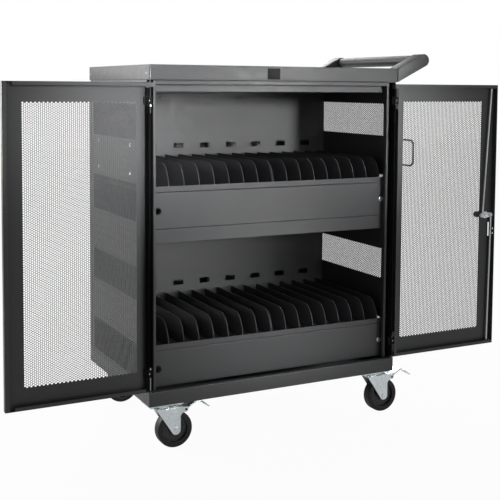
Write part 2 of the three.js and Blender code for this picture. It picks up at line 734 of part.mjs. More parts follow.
// Front doors, drawn closed around their hinge line and turned open as a group.
// Distances along the door run from the hinge line, d towards the free edge.
const DOOR_HINGE_D = HINGE_X - DOOR_HINGE_EDGE;
const DOOR_FREE_D = HINGE_X - DOOR_FREE;
const WINDOW_D = [DOOR_HINGE_D + WINDOW_HINGE_MARGIN, DOOR_FREE_D - WINDOW_FREE_MARGIN];
const WINDOW_Z = [DOOR_BOTTOM + WINDOW_BOTTOM_MARGIN, DOOR_TOP - WINDOW_TOP_MARGIN];
const FACE_Y = -HINGE_SETBACK;
const RIM_Y = FACE_Y + DOOR_DEPTH;
const LOCK_D = HINGE_X - LOCK_X;
const GUIDE_D = HINGE_X - GUIDE_X;
const ROD_LOCAL_Y = ROD_Y - HINGE_FRONT_Y;
const CRANK_LOCAL_Y = CRANK_FRONT - HINGE_FRONT_Y;

// Pan of a door: face sheet with four flanges, without its window
function doorPan(inward, faceY, rimY) {
  const deeper = Math.sign(rimY - faceY);
  const across = ordered(inward * DOOR_HINGE_D, inward * DOOR_FREE_D);
  const upright = [DOOR_BOTTOM, DOOR_TOP];
  const hollow = block(
    [across[0] + SHEET, across[1] - SHEET], [faceY + deeper * SHEET, rimY + deeper * SHEET],
    [upright[0] + SHEET, upright[1] - SHEET],
  );
  return without(block(across, [faceY, rimY], upright), hollow);
}

function frontDoorPan(inward, hasLock) {
  const throughFlange = [
    [DOOR_BOTTOM - SHEET, DOOR_BOTTOM + 2 * SHEET], [DOOR_TOP - 2 * SHEET, DOOR_TOP + SHEET],
  ];
  const pan = doorPan(inward, FACE_Y, RIM_Y);
  const across = (from, to) => [inward * from, inward * to];
  const channelZ = [DOOR_BOTTOM + 2 * PIVOT_BLOCK_RISE, DOOR_TOP - 2 * PIVOT_BLOCK_RISE];
  const channelD = DOOR_HINGE_D + HINGE_CHANNEL;
  const channelY = [FACE_Y + SHEET / 2, RIM_Y - SHEET / 2];
  const channel = block(across(channelD, channelD + SHEET), channelY, channelZ);
  const cuts = [block(WINDOW_D.map((d) => inward * d), [FACE_Y - SHEET, FACE_Y + 2 * SHEET], WINDOW_Z)];
  const adds = [channel, ...rimLips(across, channelD, hasLock)];
  for (const span of throughFlange) {
    cuts.push(rod('z', 0, 0, PIVOT_RADIUS + FIT, ...span));
  }
  if (hasLock) {
    cuts.push(...lockCuts(across, throughFlange));
  }
  return without(joined(pan, ...adds), ...cuts);
}

// Lips turned in along the rim: hinge side, top and bottom, and the free edge of a door without a lock
function rimLips(across, channelD, hasLock) {
  const rim = [RIM_Y - SHEET, RIM_Y];
  const upright = [DOOR_BOTTOM + SHEET / 2, DOOR_TOP - SHEET / 2];
  const lipEnd = hasLock ? DOOR_FREE_D - SHEET / 2 : DOOR_FREE_D - EDGE_LIP - LIP_NOTCH;
  const lips = [
    block(across(channelD, channelD + HINGE_LIP), rim, upright),
    block(across(channelD, lipEnd), rim, [upright[0], DOOR_BOTTOM + RIM_LIP]),
    block(across(channelD, lipEnd), rim, [DOOR_TOP - RIM_LIP, upright[1]]),
  ];
  if (!hasLock) {
    lips.push(block(across(DOOR_FREE_D - EDGE_LIP, DOOR_FREE_D - SHEET / 2), rim, upright));
  }
  return lips;
}

// Openings for the lock: its housing, both rods, a keeper slot and two holes in the free edge
function lockCuts(across, throughFlange) {
  const [lockD] = across(LOCK_D, LOCK_D);
  const [guideD] = across(GUIDE_D, GUIDE_D);
  const through = [FACE_Y - SHEET, FACE_Y + 2 * SHEET];
  const slotD = DOOR_FREE_D - KEEPER_SLOT_INSET;
  const slotZ = around(LOCK_Z - KEEPER_SLOT_DROP, KEEPER_SLOT_HEIGHT);
  const edge = across(DOOR_FREE_D - 2 * SHEET, DOOR_FREE_D + SHEET);
  return [
    rod('y', lockD, LOCK_Z, LOCK_BODY_RADIUS + FIT, ...through, BOSS_SIDES),
    ...throughFlange.map((span) => rodSlot(guideD, ROD_LOCAL_Y, ...span)),
    block(across(slotD - KEEPER_SLOT_WIDTH / 2, slotD + KEEPER_SLOT_WIDTH / 2), through, slotZ),
    ...EDGE_HOLE_DROPS.map((drop) => rod(
      'x', 0, LOCK_Z - drop, EDGE_HOLE_RADIUS, ...ordered(...edge), HOLE_SIDES,
    )),
  ];
}

// Perforated sheet behind the window
function doorMesh(inward) {
  const inside = FACE_Y + SHEET + FIT;
  const across = [WINDOW_D[0] - MESH_LAP, WINDOW_D[1] + MESH_LAP];
  const upright = [WINDOW_Z[0] - MESH_LAP, WINDOW_Z[1] + MESH_LAP];
  const sheet = block(across.map((d) => inward * d), [inside, inside + MESH_SHEET], upright);
  const centres = staggeredCentres(WINDOW_D, WINDOW_Z, MESH_PITCH, MESH_HOLE_RADIUS)
    .map(([d, z]) => [inward * d, z]);
  const through = [inside - SHEET, inside + 2 * SHEET];
  return without(sheet, ...perforation('y', centres, MESH_HOLE_RADIUS, ...through));
}

// Pivot block with its pin, seated in the door's hinge edge
function pivot(inward, upward) {
  const near = upward > 0 ? DOOR_TOP - PIVOT_BLOCK_RISE : DOOR_BOTTOM + PIVOT_BLOCK_RISE;
  const far = near - upward * PIVOT_BLOCK_HEIGHT;
  const edge = DOOR_HINGE_D + SHEET + FIT;
  const across = [inward * edge, inward * (edge + PIVOT_BLOCK_WIDTH)];
  const plate = block(across, [FACE_Y + SHEET + FIT, PIVOT_RADIUS + SHEET], [near, far]);
  const seat = upward > 0 ? LID_BOTTOM : BASE_TOP;
  const tip = seat + upward * PIVOT_REACH;
  const tail = far - upward * (upward > 0 ? PIVOT_TAIL : 0);
  const pin = rod('z', 0, 0, PIVOT_RADIUS, ...ordered(tip, tail));
  return joined(plate, pin);
}

// Lock rod: an eye on the crank pin, a flat tab and a round rod to its guide
function lockRod(pinD, upward) {
  const tipZ = upward > 0 ? DOOR_TOP - SHEET - ROD_TIP_GAP : DOOR_BOTTOM + SHEET + ROD_TIP_GAP;
  const lean = new THREE.Vector2(GUIDE_D - pinD, tipZ - LOCK_Z);
  const length = lean.length();
  const tab = [-CRANK_SHEET / 2, CRANK_SHEET / 2];
  const eye = rod('y', 0, 0, ROD_EYE_RADIUS, ...tab, PIN_SIDES);
  const strap = block([-ROD_RADIUS, ROD_RADIUS], tab, [0, ROD_TAB + ROD_RADIUS]);
  const shank = rod('z', 0, 0, ROD_RADIUS, ROD_TAB, length, HOLE_SIDES);
  const hole = rod('y', 0, 0, CRANK_PIN_RADIUS + FIT, -CRANK_SHEET, CRANK_SHEET);
  return { solid: without(joined(eye, strap, shank), hole), lean };
}

function lockRodGuide(guideX, upward) {
  const seat = upward > 0 ? DOOR_TOP - SHEET - FIT : DOOR_BOTTOM + SHEET + FIT;
  const [low, high] = ordered(seat - upward * GUIDE_HEIGHT, seat);
  const across = around(guideX, 2 * (ROD_RADIUS + ROD_SLOT_PLAY + GUIDE_WALL));
  const deep = [FACE_Y + SHEET + FIT, ROD_LOCAL_Y + ROD_RADIUS + PIN_PLAY + GUIDE_WALL];
  return without(block(across, deep, [low, high]), rodSlot(guideX, ROD_LOCAL_Y, low - SHEET, high + SHEET));
}

// Lock housing, handle with its spindle, crank plate, and a rod and a guide above and below
function buildLock(door, inward) {
  const lockX = inward * LOCK_D;
  const round = (radius, from, to, sides = BOSS_SIDES) => rod('y', lockX, LOCK_Z, radius, from, to, sides);
  const bodyEnd = CRANK_LOCAL_Y - FIT;
  const body = joined(
    round(LOCK_BODY_RADIUS, FACE_Y - LOCK_BOSS, bodyEnd),
    round(LOCK_BODY_RADIUS + LOCK_BOSS, FACE_Y - LOCK_BOSS, FACE_Y - FIT),
  );
  const bore = round(SPINDLE_RADIUS + FIT, FACE_Y - 2 * LOCK_BOSS, bodyEnd + SHEET, PIN_SIDES);
  addPart(door, 'lock_body', without(body, bore), ZINC);

  const stemFace = FACE_Y - LOCK_BOSS - FIT;
  const barFace = stemFace - HANDLE_STEM;
  const crankBack = CRANK_LOCAL_Y + CRANK_SHEET;
  const grip = roundedRectangle(
    around(lockX, HANDLE_BAR_LENGTH), around(LOCK_Z, HANDLE_BAR_WIDTH), HANDLE_BAR_WIDTH / 2 - SHEET,
  );
  const handle = joined(
    prism(grip, 'y', barFace - HANDLE_BAR_DEPTH, barFace),
    round(LOCK_BODY_RADIUS, barFace - SHEET, stemFace),
    round(SPINDLE_RADIUS, stemFace - SHEET, crankBack + SHEET, PIN_SIDES),
  );
  addPart(door, 'lock_handle', handle, BLACK_PLASTIC);

  const crank = roundedRectangle(
    around(lockX, 2 * CRANK_ARM + CRANK_WIDTH), around(LOCK_Z, CRANK_WIDTH), CRANK_WIDTH / 2 - FIT,
  );
  const pinEnd = crankBack + CRANK_SHEET + 2 * PIN_PLAY;
  const pins = [-1, 1].map((side) => rod(
    'y', lockX + side * CRANK_ARM, LOCK_Z, CRANK_PIN_RADIUS, crankBack - SHEET, pinEnd,
  ));
  const spindleHole = round(SPINDLE_RADIUS + FIT, CRANK_LOCAL_Y - SHEET, crankBack + SHEET, PIN_SIDES);
  const plate = prism(crank, 'y', CRANK_LOCAL_Y, crankBack);
  addPart(door, 'lock_cam', without(joined(plate, ...pins), spindleHole), ZINC);

  const rods = [['upper', LOCK_D - CRANK_ARM, 1], ['lower', LOCK_D + CRANK_ARM, -1]];
  for (const [level, pinD, upward] of rods) {
    const { solid, lean } = lockRod(pinD, upward);
    const piece = addPart(door, `${level}_lock_rod`, solid, ZINC);
    piece.position.set(inward * pinD, ROD_LOCAL_Y, LOCK_Z);
    piece.rotation.y = Math.atan2(inward * lean.x, lean.y);
    addPart(door, `${level}_rod_guide`, lockRodGuide(inward * GUIDE_D, upward), BLACK_PLASTIC);
  }
}

function buildFrontDoors() {
  for (const [name, side] of [['left', -1], ['right', 1]]) {
    const door = new THREE.Group();
    const inward = -side;
    door.position.set(side * HINGE_X, HINGE_FRONT_Y, 0);
    door.rotation.z = side * THREE.MathUtils.degToRad(DOOR_OPEN_DEG);
    addPart(door, `${name}_door_pan`, frontDoorPan(inward, side > 0), BLACK_STEEL);
    addPart(door, `${name}_door_mesh`, doorMesh(inward), DARK_SHEET);
    addPart(door, `${name}_upper_hinge`, pivot(inward, 1), ZINC);
    addPart(door, `${name}_lower_hinge`, pivot(inward, -1), ZINC);
    if (side > 0) {
      buildLock(door, inward);
    }
    cart.add(door);
  }
}

// Key lock of the rear doors: a round face, a spindle and a blade that hangs down while unlocked
function rearLock(knobX, faceY, rimY) {
  const bladeFace = rimY - FIT;
  const bladeBack = bladeFace - REAR_BLADE_SHEET;
  return joined(
    rod('y', knobX, LOCK_Z, REAR_KNOB_RADIUS, faceY + FIT, faceY + REAR_KNOB_PROUD, BOSS_SIDES),
    rod('y', knobX, LOCK_Z, SPINDLE_RADIUS, bladeBack, faceY + REAR_KNOB_PROUD / 2),
    block(
      around(knobX, REAR_BLADE_WIDTH), [bladeBack, bladeFace],
      [LOCK_Z - REAR_BLADE_LENGTH, LOCK_Z + REAR_BLADE_WIDTH / 2],
    ),
  );
}

// Plain rear doors with pivot pins of their own, and the key lock on the right one
function buildRearDoors() {
  const [faceY, rimY] = [HINGE_SETBACK, HINGE_SETBACK - DOOR_DEPTH];
  for (const [name, side] of [['left', -1], ['right', 1]]) {
    const door = new THREE.Group();
    const inward = -side;
    door.position.set(side * HINGE_X, HINGE_BACK_Y, 0);
    let pan = joined(
      doorPan(inward, faceY, rimY),
      rod('z', 0, 0, PIVOT_RADIUS, DOOR_TOP - SHEET, LID_BOTTOM + PIVOT_REACH),
      rod('z', 0, 0, PIVOT_RADIUS, BASE_TOP - PIVOT_REACH, DOOR_BOTTOM + SHEET),
    );
    if (side > 0) {
      const knobX = inward * (DOOR_FREE_D - REAR_LOCK_INSET);
      pan = without(pan, rod('y', knobX, LOCK_Z, SPINDLE_RADIUS + FIT, rimY, faceY + SHEET));
      addPart(door, 'rear_lock', rearLock(knobX, faceY, rimY), ZINC);
    }
    addPart(door, `rear_${name}_door`, pan, BLACK_STEEL);
    cart.add(door);
  }
}

// Casters: plate and race under the base, fork with its axle bolt, wheel and brake pedal
const RACE_BOTTOM = BASE_BOTTOM - FIT - PLATE_SHEET - RACE_HEIGHT;
const FORK_TOP = RACE_BOTTOM - FIT;
const FORK_HALF = WHEEL_WIDTH / 2 + FORK_GAP;

function casterPlate() {
  const plateTop = BASE_BOTTOM - FIT;
  const plateBottom = plateTop - PLATE_SHEET;
  const outline = roundedRectangle(around(0, PLATE_LENGTH), around(0, PLATE_WIDTH), 2 * CORNER_RADIUS);
  return joined(
    prism(outline, 'z', plateBottom, plateTop),
    rod('z', 0, 0, RACE_RADIUS, RACE_BOTTOM, plateBottom + SHEET / 2, BOSS_SIDES),
    rod('z', 0, 0, KINGPIN_RADIUS, FORK_TOP - 2 * FORK_SHEET, plateBottom),
  );
}

// Side of a fork: from the top plate down and back to the axle, with an ear for the pedal
function forkLegOutline(hasPedal) {
  const foot = point(TRAIL, WHEEL_RADIUS);
  const topFront = point(-FORK_TOP_LENGTH / 2 + FORK_SHEET, FORK_TOP);
  const topBack = point(FORK_TOP_LENGTH / 2, FORK_TOP);
  const low = tangentPoint(topFront, foot, FORK_FOOT_RADIUS, 1);
  const high = tangentPoint(topBack, foot, FORK_FOOT_RADIUS, -1);
  const start = Math.atan2(low.y - foot.y, low.x - foot.x);
  const finish = Math.atan2(high.y - foot.y, high.x - foot.x);
  const turned = finish < start ? finish + 2 * Math.PI : finish;
  const leg = [topFront, ...arcPoints(foot, FORK_FOOT_RADIUS, start, turned, BEND_STEPS)];
  if (hasPedal) {
    const ear = point(PEDAL_PIVOT_X, PEDAL_PIVOT_Z);
    leg.push(...arcPoints(ear, 2 * PEDAL_PIN_RADIUS, -Math.PI / 2, Math.PI / 2, BEND_STEPS / 2));
  }
  leg.push(topBack);
  return leg;
}

function fork(hasPedal) {
  const outer = FORK_HALF + FORK_SHEET;
  const top = without(
    block(around(0, FORK_TOP_LENGTH), [-outer, outer], [FORK_TOP - FORK_SHEET, FORK_TOP]),
    rod('z', 0, 0, KINGPIN_RADIUS + FIT, FORK_TOP - 2 * FORK_SHEET, FORK_TOP + FORK_SHEET),
  );
  const outline = forkLegOutline(hasPedal);
  const legs = [prism(outline, 'y', -outer, -FORK_HALF), prism(outline, 'y', FORK_HALF, outer)];
  const bolt = [
    rod('y', TRAIL, WHEEL_RADIUS, AXLE_RADIUS, -outer - SHEET, outer + SHEET),
    rod('y', TRAIL, WHEEL_RADIUS, AXLE_HEAD_RADIUS, outer, outer + AXLE_HEAD, HEX_SIDES),
    rod('y', TRAIL, WHEEL_RADIUS, AXLE_HEAD_RADIUS, -outer - AXLE_HEAD, -outer, HEX_SIDES),
  ];
  const parts = [top, ...legs, ...bolt];
  if (hasPedal) {
    parts.push(rod('y', PEDAL_PIVOT_X, PEDAL_PIVOT_Z, PEDAL_PIN_RADIUS, -outer, outer));
  }
  return joined(...parts);
}

function wheel() {
  const half = WHEEL_WIDTH / 2;
  const hubHalf = half + FORK_GAP - FIT;
  const rim = WHEEL_RADIUS - TREAD_DEPTH;
  const bore = AXLE_RADIUS + FIT;
  const disc = half - DISC_INSET;
  const side = [
    point(bore, hubHalf), point(HUB_RADIUS, hubHalf), point(HUB_RADIUS, disc), point(rim, disc),
    point(rim, half), point(WHEEL_RADIUS - TREAD_EDGE, half), point(WHEEL_RADIUS, half - TREAD_EDGE),
  ];
  const mirrored = side.map((corner) => point(corner.x, -corner.y));
  return new THREE.LatheGeometry([...mirrored, ...side.reverse(), mirrored[0]], WHEEL_SIDES);
}

// Pressed pedal: a sleeve on the fork's pin, a rise to the crown and a tread that slopes to the tip
function pedal() {
  const pivot = point(PEDAL_PIVOT_X, PEDAL_PIVOT_Z);
  const crown = point(PEDAL_CROWN_X, BASE_BOTTOM - PEDAL_CROWN_DROP);
  const tip = point(PEDAL_TIP_X, PEDAL_TIP_Z);
  const halfSleeve = FORK_HALF - FIT;
  const sleeveRadius = PEDAL_PIN_RADIUS + FIT + SHEET;
  const plate = prism(foldedSheet([tip, crown, pivot], PEDAL_SHEET), 'y', ...around(0, PEDAL_WIDTH));
  const sleeve = rod('y', pivot.x, pivot.y, sleeveRadius, -halfSleeve, halfSleeve);
  const bore = rod('y', pivot.x, pivot.y, PEDAL_PIN_RADIUS + FIT, -PEDAL_WIDTH, PEDAL_WIDTH);
  return without(joined(plate, sleeve), bore);
}

function buildCasters() {
  const corners = [
    ['front_left', -1, -1], ['front_right', 1, -1], ['rear_left', -1, 1], ['rear_right', 1, 1],
  ];
  for (const [name, sideX, sideY] of corners) {
    const hasBrake = sideY < 0;
    const caster = new THREE.Group();
    caster.position.x = sideX * (HALF_WIDTH - CASTER_SIDE_INSET);
    caster.position.y = sideY * (BACK - CASTER_END_INSET);
    addPart(caster, `${name}_caster_plate`, casterPlate(), ZINC);
    addPart(caster, `${name}_fork`, fork(hasBrake), ZINC);
    const roller = addPart(caster, `${name}_wheel`, wheel(), BLACK_RUBBER);
    roller.position.set(TRAIL, 0, WHEEL_RADIUS);
    if (hasBrake) {
      addPart(caster, `${name}_brake_pedal`, pedal(), ZINC);
    }
    cart.add(caster);
  }
}

buildShell();
buildSidePanels();
buildHeader();
buildShelves();
buildRacks();
buildHandle();
buildCordHooks();
buildPower();
buildFrontDoors();
buildRearDoors();
buildCasters();

// Stand the cart with the middle of its whole depth over the origin
const foremost = HINGE_FRONT_Y - RIM_Y;
const rearmost = BACK + REAR_KNOB_PROUD;
cart.position.y = -(foremost + rearmost) / 2;

export default cart;
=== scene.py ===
"""Looks of a laptop charging cart: sheet-steel cabinet, perforated doors, rod lock and casters.

Lengths are in millimetres until a piece is finished, when they turn into metres. +Z is up and
the front faces -Y. The cart stands as it does while it is loaded, with both front doors folded
right back beside the cabinet.
"""

import logging
import math
from collections.abc import Sequence
from dataclasses import dataclass, field
from enum import Enum

import bmesh
import bpy
from mathutils import Matrix, Vector


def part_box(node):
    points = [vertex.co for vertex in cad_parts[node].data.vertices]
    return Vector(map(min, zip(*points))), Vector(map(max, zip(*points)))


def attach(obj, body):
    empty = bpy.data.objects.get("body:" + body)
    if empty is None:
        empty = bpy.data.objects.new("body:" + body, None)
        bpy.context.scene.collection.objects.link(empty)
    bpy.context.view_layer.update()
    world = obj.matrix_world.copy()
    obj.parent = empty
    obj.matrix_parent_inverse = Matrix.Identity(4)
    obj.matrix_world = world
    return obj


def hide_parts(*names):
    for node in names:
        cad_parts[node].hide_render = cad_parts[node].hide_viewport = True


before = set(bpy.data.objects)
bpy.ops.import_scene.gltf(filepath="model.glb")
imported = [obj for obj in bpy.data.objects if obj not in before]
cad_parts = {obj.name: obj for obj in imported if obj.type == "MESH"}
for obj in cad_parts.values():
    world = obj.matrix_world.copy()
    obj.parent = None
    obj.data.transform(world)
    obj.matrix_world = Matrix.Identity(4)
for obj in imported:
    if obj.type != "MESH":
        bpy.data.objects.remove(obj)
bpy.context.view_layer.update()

log = logging.getLogger("cart")

Pair = tuple[float, float]
Triple = tuple[float, float, float]

MM = 0.001
WELD = 0.002
FLAT_ANGLE = math.radians(0.5)
SHARP_ANGLE = math.radians(28)
LEAST_FOLD = 12.0
SHEET = 1.5
FOLD = 1.8
DOOR_FOLD = 1.0


class Axis(Enum):
    """Direction that an outline is pushed along or a profile is turned about."""

    X = "x"
    Y = "y"
    Z = "z"

    def point(self, a: float, b: float, along: float) -> Vector:
        """Place (a, b) of an outline: (y, z) along x, (x, z) along y, (x, y) along z.

        Args:
            a: first place in the outline.
            b: second place in the outline.
            along: place along this direction.

        Returns:
            The point in space.
        """
        if self is Axis.X:
            return Vector((along, a, b))
        if self is Axis.Y:
            return Vector((a, along, b))
        return Vector((a, b, along))

    def from_flat(self) -> Matrix:
        """Turn that lays a flat xy drawing across this direction, with b upwards.

        Returns:
            The turn.
        """
        rows = {
            Axis.X: ((0, 0, 1), (1, 0, 0), (0, 1, 0)),
            Axis.Y: ((1, 0, 0), (0, 0, -1), (0, 1, 0)),
            Axis.Z: ((1, 0, 0), (0, 1, 0), (0, 0, 1)),
        }
        return Matrix(rows[self]).to_4x4()


class Slot(Enum):
    """Material slots of the part's record."""

    STEEL = "black_steel"
    MESH = "door_mesh"
    RACK = "rack_plastic"
    ZINC = "zinc_steel"
    PLASTIC = "black_plastic"
    RUBBER = "wheel_rubber"


class Side(Enum):
    """Left or right of the cart, seen from the front."""

    LEFT = -1
    RIGHT = 1

    @property
    def word(self) -> str:
        """The side's name in piece and node names."""
        return self.name.lower()


class TreeBuilder:
    """Adds nodes to a node tree and joins their sockets."""

    def __init__(self, tree: bpy.types.NodeTree) -> None:
        """Keep the tree that nodes are added to."""
        self.tree = tree

    def node(
        self,
        kind: str,
        values: dict[str | int, object] | None = None,
        **settings: object,
    ) -> bpy.types.Node:
        """Add a node, set its properties and fill its inputs.

        Args:
            kind: Blender's type name of the node.
            values: inputs by name or index; a socket is linked, anything else is its value.
            **settings: properties of the node itself.

        Returns:
            The new node.
        """
        made = self.tree.nodes.new(kind)
        for name, value in settings.items():
            setattr(made, name, value)
        for key, value in (values or {}).items():
            if isinstance(value, bpy.types.NodeSocket):
                self.tree.links.new(value, made.inputs[key])
            else:
                made.inputs[key].default_value = value
        return made

    def math(
        self, operation: str, a: object, b: object = 0.0
    ) -> bpy.types.NodeSocket:
        """Add a math node on two numbers or sockets and give its result."""
        return self.node("ShaderNodeMath", {0: a, 1: b}, operation=operation).outputs[0]

    def finish(self, **results: bpy.types.NodeSocket) -> None:
        """Join the sockets to the tree's outputs of the same names.

        Args:
            results: the tree's outputs by name.
        """
        out = self.tree.nodes.new("NodeGroupOutput")
        for name, socket in results.items():
            self.tree.links.new(socket, out.inputs[name.replace("_", " ")])


def new_tree(
    name: str,
    kind: str,
    inputs: Sequence[tuple[str, str, object]],
    outputs: Sequence[tuple[str, str]],
) -> tuple[TreeBuilder, bpy.types.Node]:
    """Make a node tree with named inputs and outputs.

    Args:
        name: the tree's name.
        kind: GeometryNodeTree or ShaderNodeTree.
        inputs: (name, socket type, default or None) of each input.
        outputs: (name, socket type) of each output.

    Returns:
        The tree's builder and its input node.
    """
    tree = bpy.data.node_groups.new(name, kind)
    for label, socket, default in inputs:
        made = tree.interface.new_socket(label, in_out="INPUT", socket_type=socket)
        if default is not None:
            made.default_value = default
    for label, socket in outputs:
        tree.interface.new_socket(label, in_out="OUTPUT", socket_type=socket)
    return TreeBuilder(tree), tree.nodes.new("NodeGroupInput")


class Shaders:
    """Shader groups shared by the finishes, each made once."""

    _made: dict[str, bpy.types.NodeTree] = {}

    @classmethod
    def grain(cls) -> bpy.types.NodeTree:
        """Fine grain over a slow ripple: a height for the bump and a mask for the sheen.

        Returns:
            The node tree, made once and shared.
        """
        if "surface_grain" not in cls._made:
            build, given = new_tree(
                "surface_grain",
                "ShaderNodeTree",
                [
                    ("Vector", "NodeSocketVector", None),
                    ("Scale", "NodeSocketFloat", 900.0),
                    ("Ripple", "NodeSocketFloat", 0.5),
                ],
                [("Height", "NodeSocketFloat"), ("Mask", "NodeSocketFloat")],
            )
            at, scale = given.outputs["Vector"], given.outputs["Scale"]
            fine = build.node("ShaderNodeTexNoise", {"Vector": at, "Scale": scale, "Detail": 2.0})
            slow_scale = build.math("MULTIPLY", scale, 0.06)
            slow = build.node(
                "ShaderNodeTexNoise", {"Vector": at, "Scale": slow_scale, "Detail": 3.0}
            )
            rippled = build.math("MULTIPLY", slow.outputs[0], given.outputs["Ripple"])
            height = build.math("ADD", fine.outputs[0], rippled)
            build.finish(Height=height, Mask=slow.outputs[0])
            cls._made["surface_grain"] = build.tree
        return cls._made["surface_grain"]

    @classmethod
    def drift(cls) -> bpy.types.NodeTree:
        """Colour that wanders a little over the piece, as paint thickness does.

        Returns:
            The node tree, made once and shared.
        """
        if "colour_drift" not in cls._made:
            build, given = new_tree(
                "colour_drift",
                "ShaderNodeTree",
                [
                    ("Vector", "NodeSocketVector", None),
                    ("Colour", "NodeSocketColor", None),
                    ("Scale", "NodeSocketFloat", 5.0),
                    ("Amount", "NodeSocketFloat", 0.1),
                ],
                [("Colour", "NodeSocketColor")],
            )
            noise = build.node(
                "ShaderNodeTexNoise",
                {
                    "Vector": given.outputs["Vector"],
                    "Scale": given.outputs["Scale"],
                    "Detail": 4.0,
                },
            )
            centred = build.math("SUBTRACT", noise.outputs[0], 0.5)
            swing = build.math("MULTIPLY", centred, given.outputs["Amount"])
            value = build.math("ADD", swing, 1.0)
            tinted = build.node(
                "ShaderNodeHueSaturation", {"Value": value, "Color": given.outputs["Colour"]}
            )
            build.finish(Colour=tinted.outputs[0])
            cls._made["colour_drift"] = build.tree
        return cls._made["colour_drift"]

    @classmethod
    def dust(cls) -> bpy.types.NodeTree:
        """Thin dust that settles on faces that look upwards.

        Returns:
            The node tree, made once and shared.
        """
        if "settled_dust" not in cls._made:
            build, given = new_tree(
                "settled_dust",
                "ShaderNodeTree",
                [
                    ("Vector", "NodeSocketVector", None),
                    ("Colour", "NodeSocketColor", None),
                    ("Amount", "NodeSocketFloat", 0.1),
                ],
                [("Colour", "NodeSocketColor"), ("Mask", "NodeSocketFloat")],
            )
            facing = build.node("ShaderNodeNewGeometry").outputs["Normal"]
            upward = build.node("ShaderNodeSeparateXYZ", {0: facing}).outputs["Z"]
            level = build.node(
                "ShaderNodeMapRange", {"Value": upward, "From Min": 0.7, "From Max": 1.0}
            ).outputs[0]
            noise = build.node(
                "ShaderNodeTexNoise",
                {"Vector": given.outputs["Vector"], "Scale": 60.0, "Detail": 6.0},
            )
            patchy = build.math("MULTIPLY", level, noise.outputs[0])
            mask = build.math("MULTIPLY", patchy, given.outputs["Amount"])
            mixed = build.node(
                "ShaderNodeMix",
                {0: mask, 6: given.outputs["Colour"], 7: (0.42, 0.41, 0.39, 1.0)},
                data_type="RGBA",
            )
            build.finish(Colour=mixed.outputs[2], Mask=mask)
            cls._made["settled_dust"] = build.tree
        return cls._made["settled_dust"]


@dataclass(frozen=True)
class Finish:
    """A surface: its colour, its sheen and how both wander over the piece."""

    name: str
    slot: Slot
    colour: Triple
    roughness: Pair
    metallic: float = 0.0
    specular: float = 0.5
    coat: float = 0.0
    grain: float = 900.0
    ripple: float = 0.5
    bump: float = 0.1
    drift: float = 0.2
    drift_scale: float = 5.0
    dust: float = 0.1
    dent: float = 0.0
    dent_scale: float = 22.0

    def material(self) -> bpy.types.Material:
        """Give the finish's material, made the first time that it is asked for.

        Returns:
            The material.
        """
        found = bpy.data.materials.get(self.name)
        if found:
            return found
        made = bpy.data.materials.new(self.name)
        made.use_nodes = True
        made.node_tree.nodes.clear()
        self.lay_out(TreeBuilder(made.node_tree))
        return made

    def colours(
        self, build: TreeBuilder, at: bpy.types.NodeSocket
    ) -> bpy.types.NodeSocket:
        """Give the base colour before dust.

        Args:
            build: the material's tree.
            at: coordinates on the piece.

        Returns:
            The colour's socket.
        """
        drift = build.node(
            "ShaderNodeGroup", {}, node_tree=Shaders.drift()
        )
        build.tree.links.new(at, drift.inputs["Vector"])
        drift.inputs["Colour"].default_value = (*self.colour, 1.0)
        drift.inputs["Scale"].default_value = self.drift_scale
        drift.inputs["Amount"].default_value = self.drift
        return drift.outputs["Colour"]

    def lay_out(self, build: TreeBuilder) -> None:
        """Join grain, drift and dust to the surface shader.

        Args:
            build: the material's tree.
        """
        at = build.node("ShaderNodeTexCoord").outputs["Object"]
        grain = build.node("ShaderNodeGroup", {}, node_tree=Shaders.grain())
        build.tree.links.new(at, grain.inputs["Vector"])
        grain.inputs["Scale"].default_value = self.grain
        grain.inputs["Ripple"].default_value = self.ripple
        dust = build.node("ShaderNodeGroup", {}, node_tree=Shaders.dust())
        build.tree.links.new(at, dust.inputs["Vector"])
        build.tree.links.new(self.colours(build, at), dust.inputs["Colour"])
        dust.inputs["Amount"].default_value = self.dust
        sheen = build.node(
            "ShaderNodeMapRange",
            {
                "Value": grain.outputs["Mask"],
                "From Min": 0.3,
                "From Max": 0.7,
                "To Min": self.roughness[0],
                "To Max": self.roughness[1],
            },
        )
        bump = build.node(
            "ShaderNodeBump",
            {"Height": grain.outputs["Height"], "Strength": self.bump, "Distance": 0.0003},
        )
        if self.dent:
            waves = build.node(
                "ShaderNodeTexNoise", {"Vector": at, "Scale": self.dent_scale, "Detail": 1.0}
            )
            dents = build.node(
                "ShaderNodeBump",
                {"Height": waves.outputs[0], "Strength": 1.0, "Distance": self.dent},
            )
            build.tree.links.new(dents.outputs[0], bump.inputs["Normal"])
        surface = build.node(
            "ShaderNodeBsdfPrincipled",
            {
                "Base Color": dust.outputs["Colour"],
                "Roughness": sheen.outputs[0],
                "Normal": bump.outputs[0],
                "Metallic": self.metallic,
                "Specular IOR Level": self.specular,
                "Coat Weight": self.coat,
            },
        )
        build.node("ShaderNodeOutputMaterial", {"Surface": surface.outputs[0]})


@dataclass(frozen=True)
class ZincPlate(Finish):
    """Bright zinc with the small crystal patches of plated steel."""

    spangle: float = 260.0

    def colours(
        self, build: TreeBuilder, at: bpy.types.NodeSocket
    ) -> bpy.types.NodeSocket:
        """Give the drifting colour with each crystal a little lighter or darker.

        Args:
            build: the material's tree.
            at: coordinates on the piece.

        Returns:
            The colour's socket.
        """
        base = super().colours(build, at)
        cells = build.node("ShaderNodeTexVoronoi", {"Vector": at, "Scale": self.spangle})
        shade = build.node(
            "ShaderNodeMapRange", {"Value": cells.outputs["Color"], "To Min": 0.95, "To Max": 1.05}
        )
        return build.node(
            "ShaderNodeHueSaturation", {"Value": shade.outputs[0], "Color": base}
        ).outputs[0]


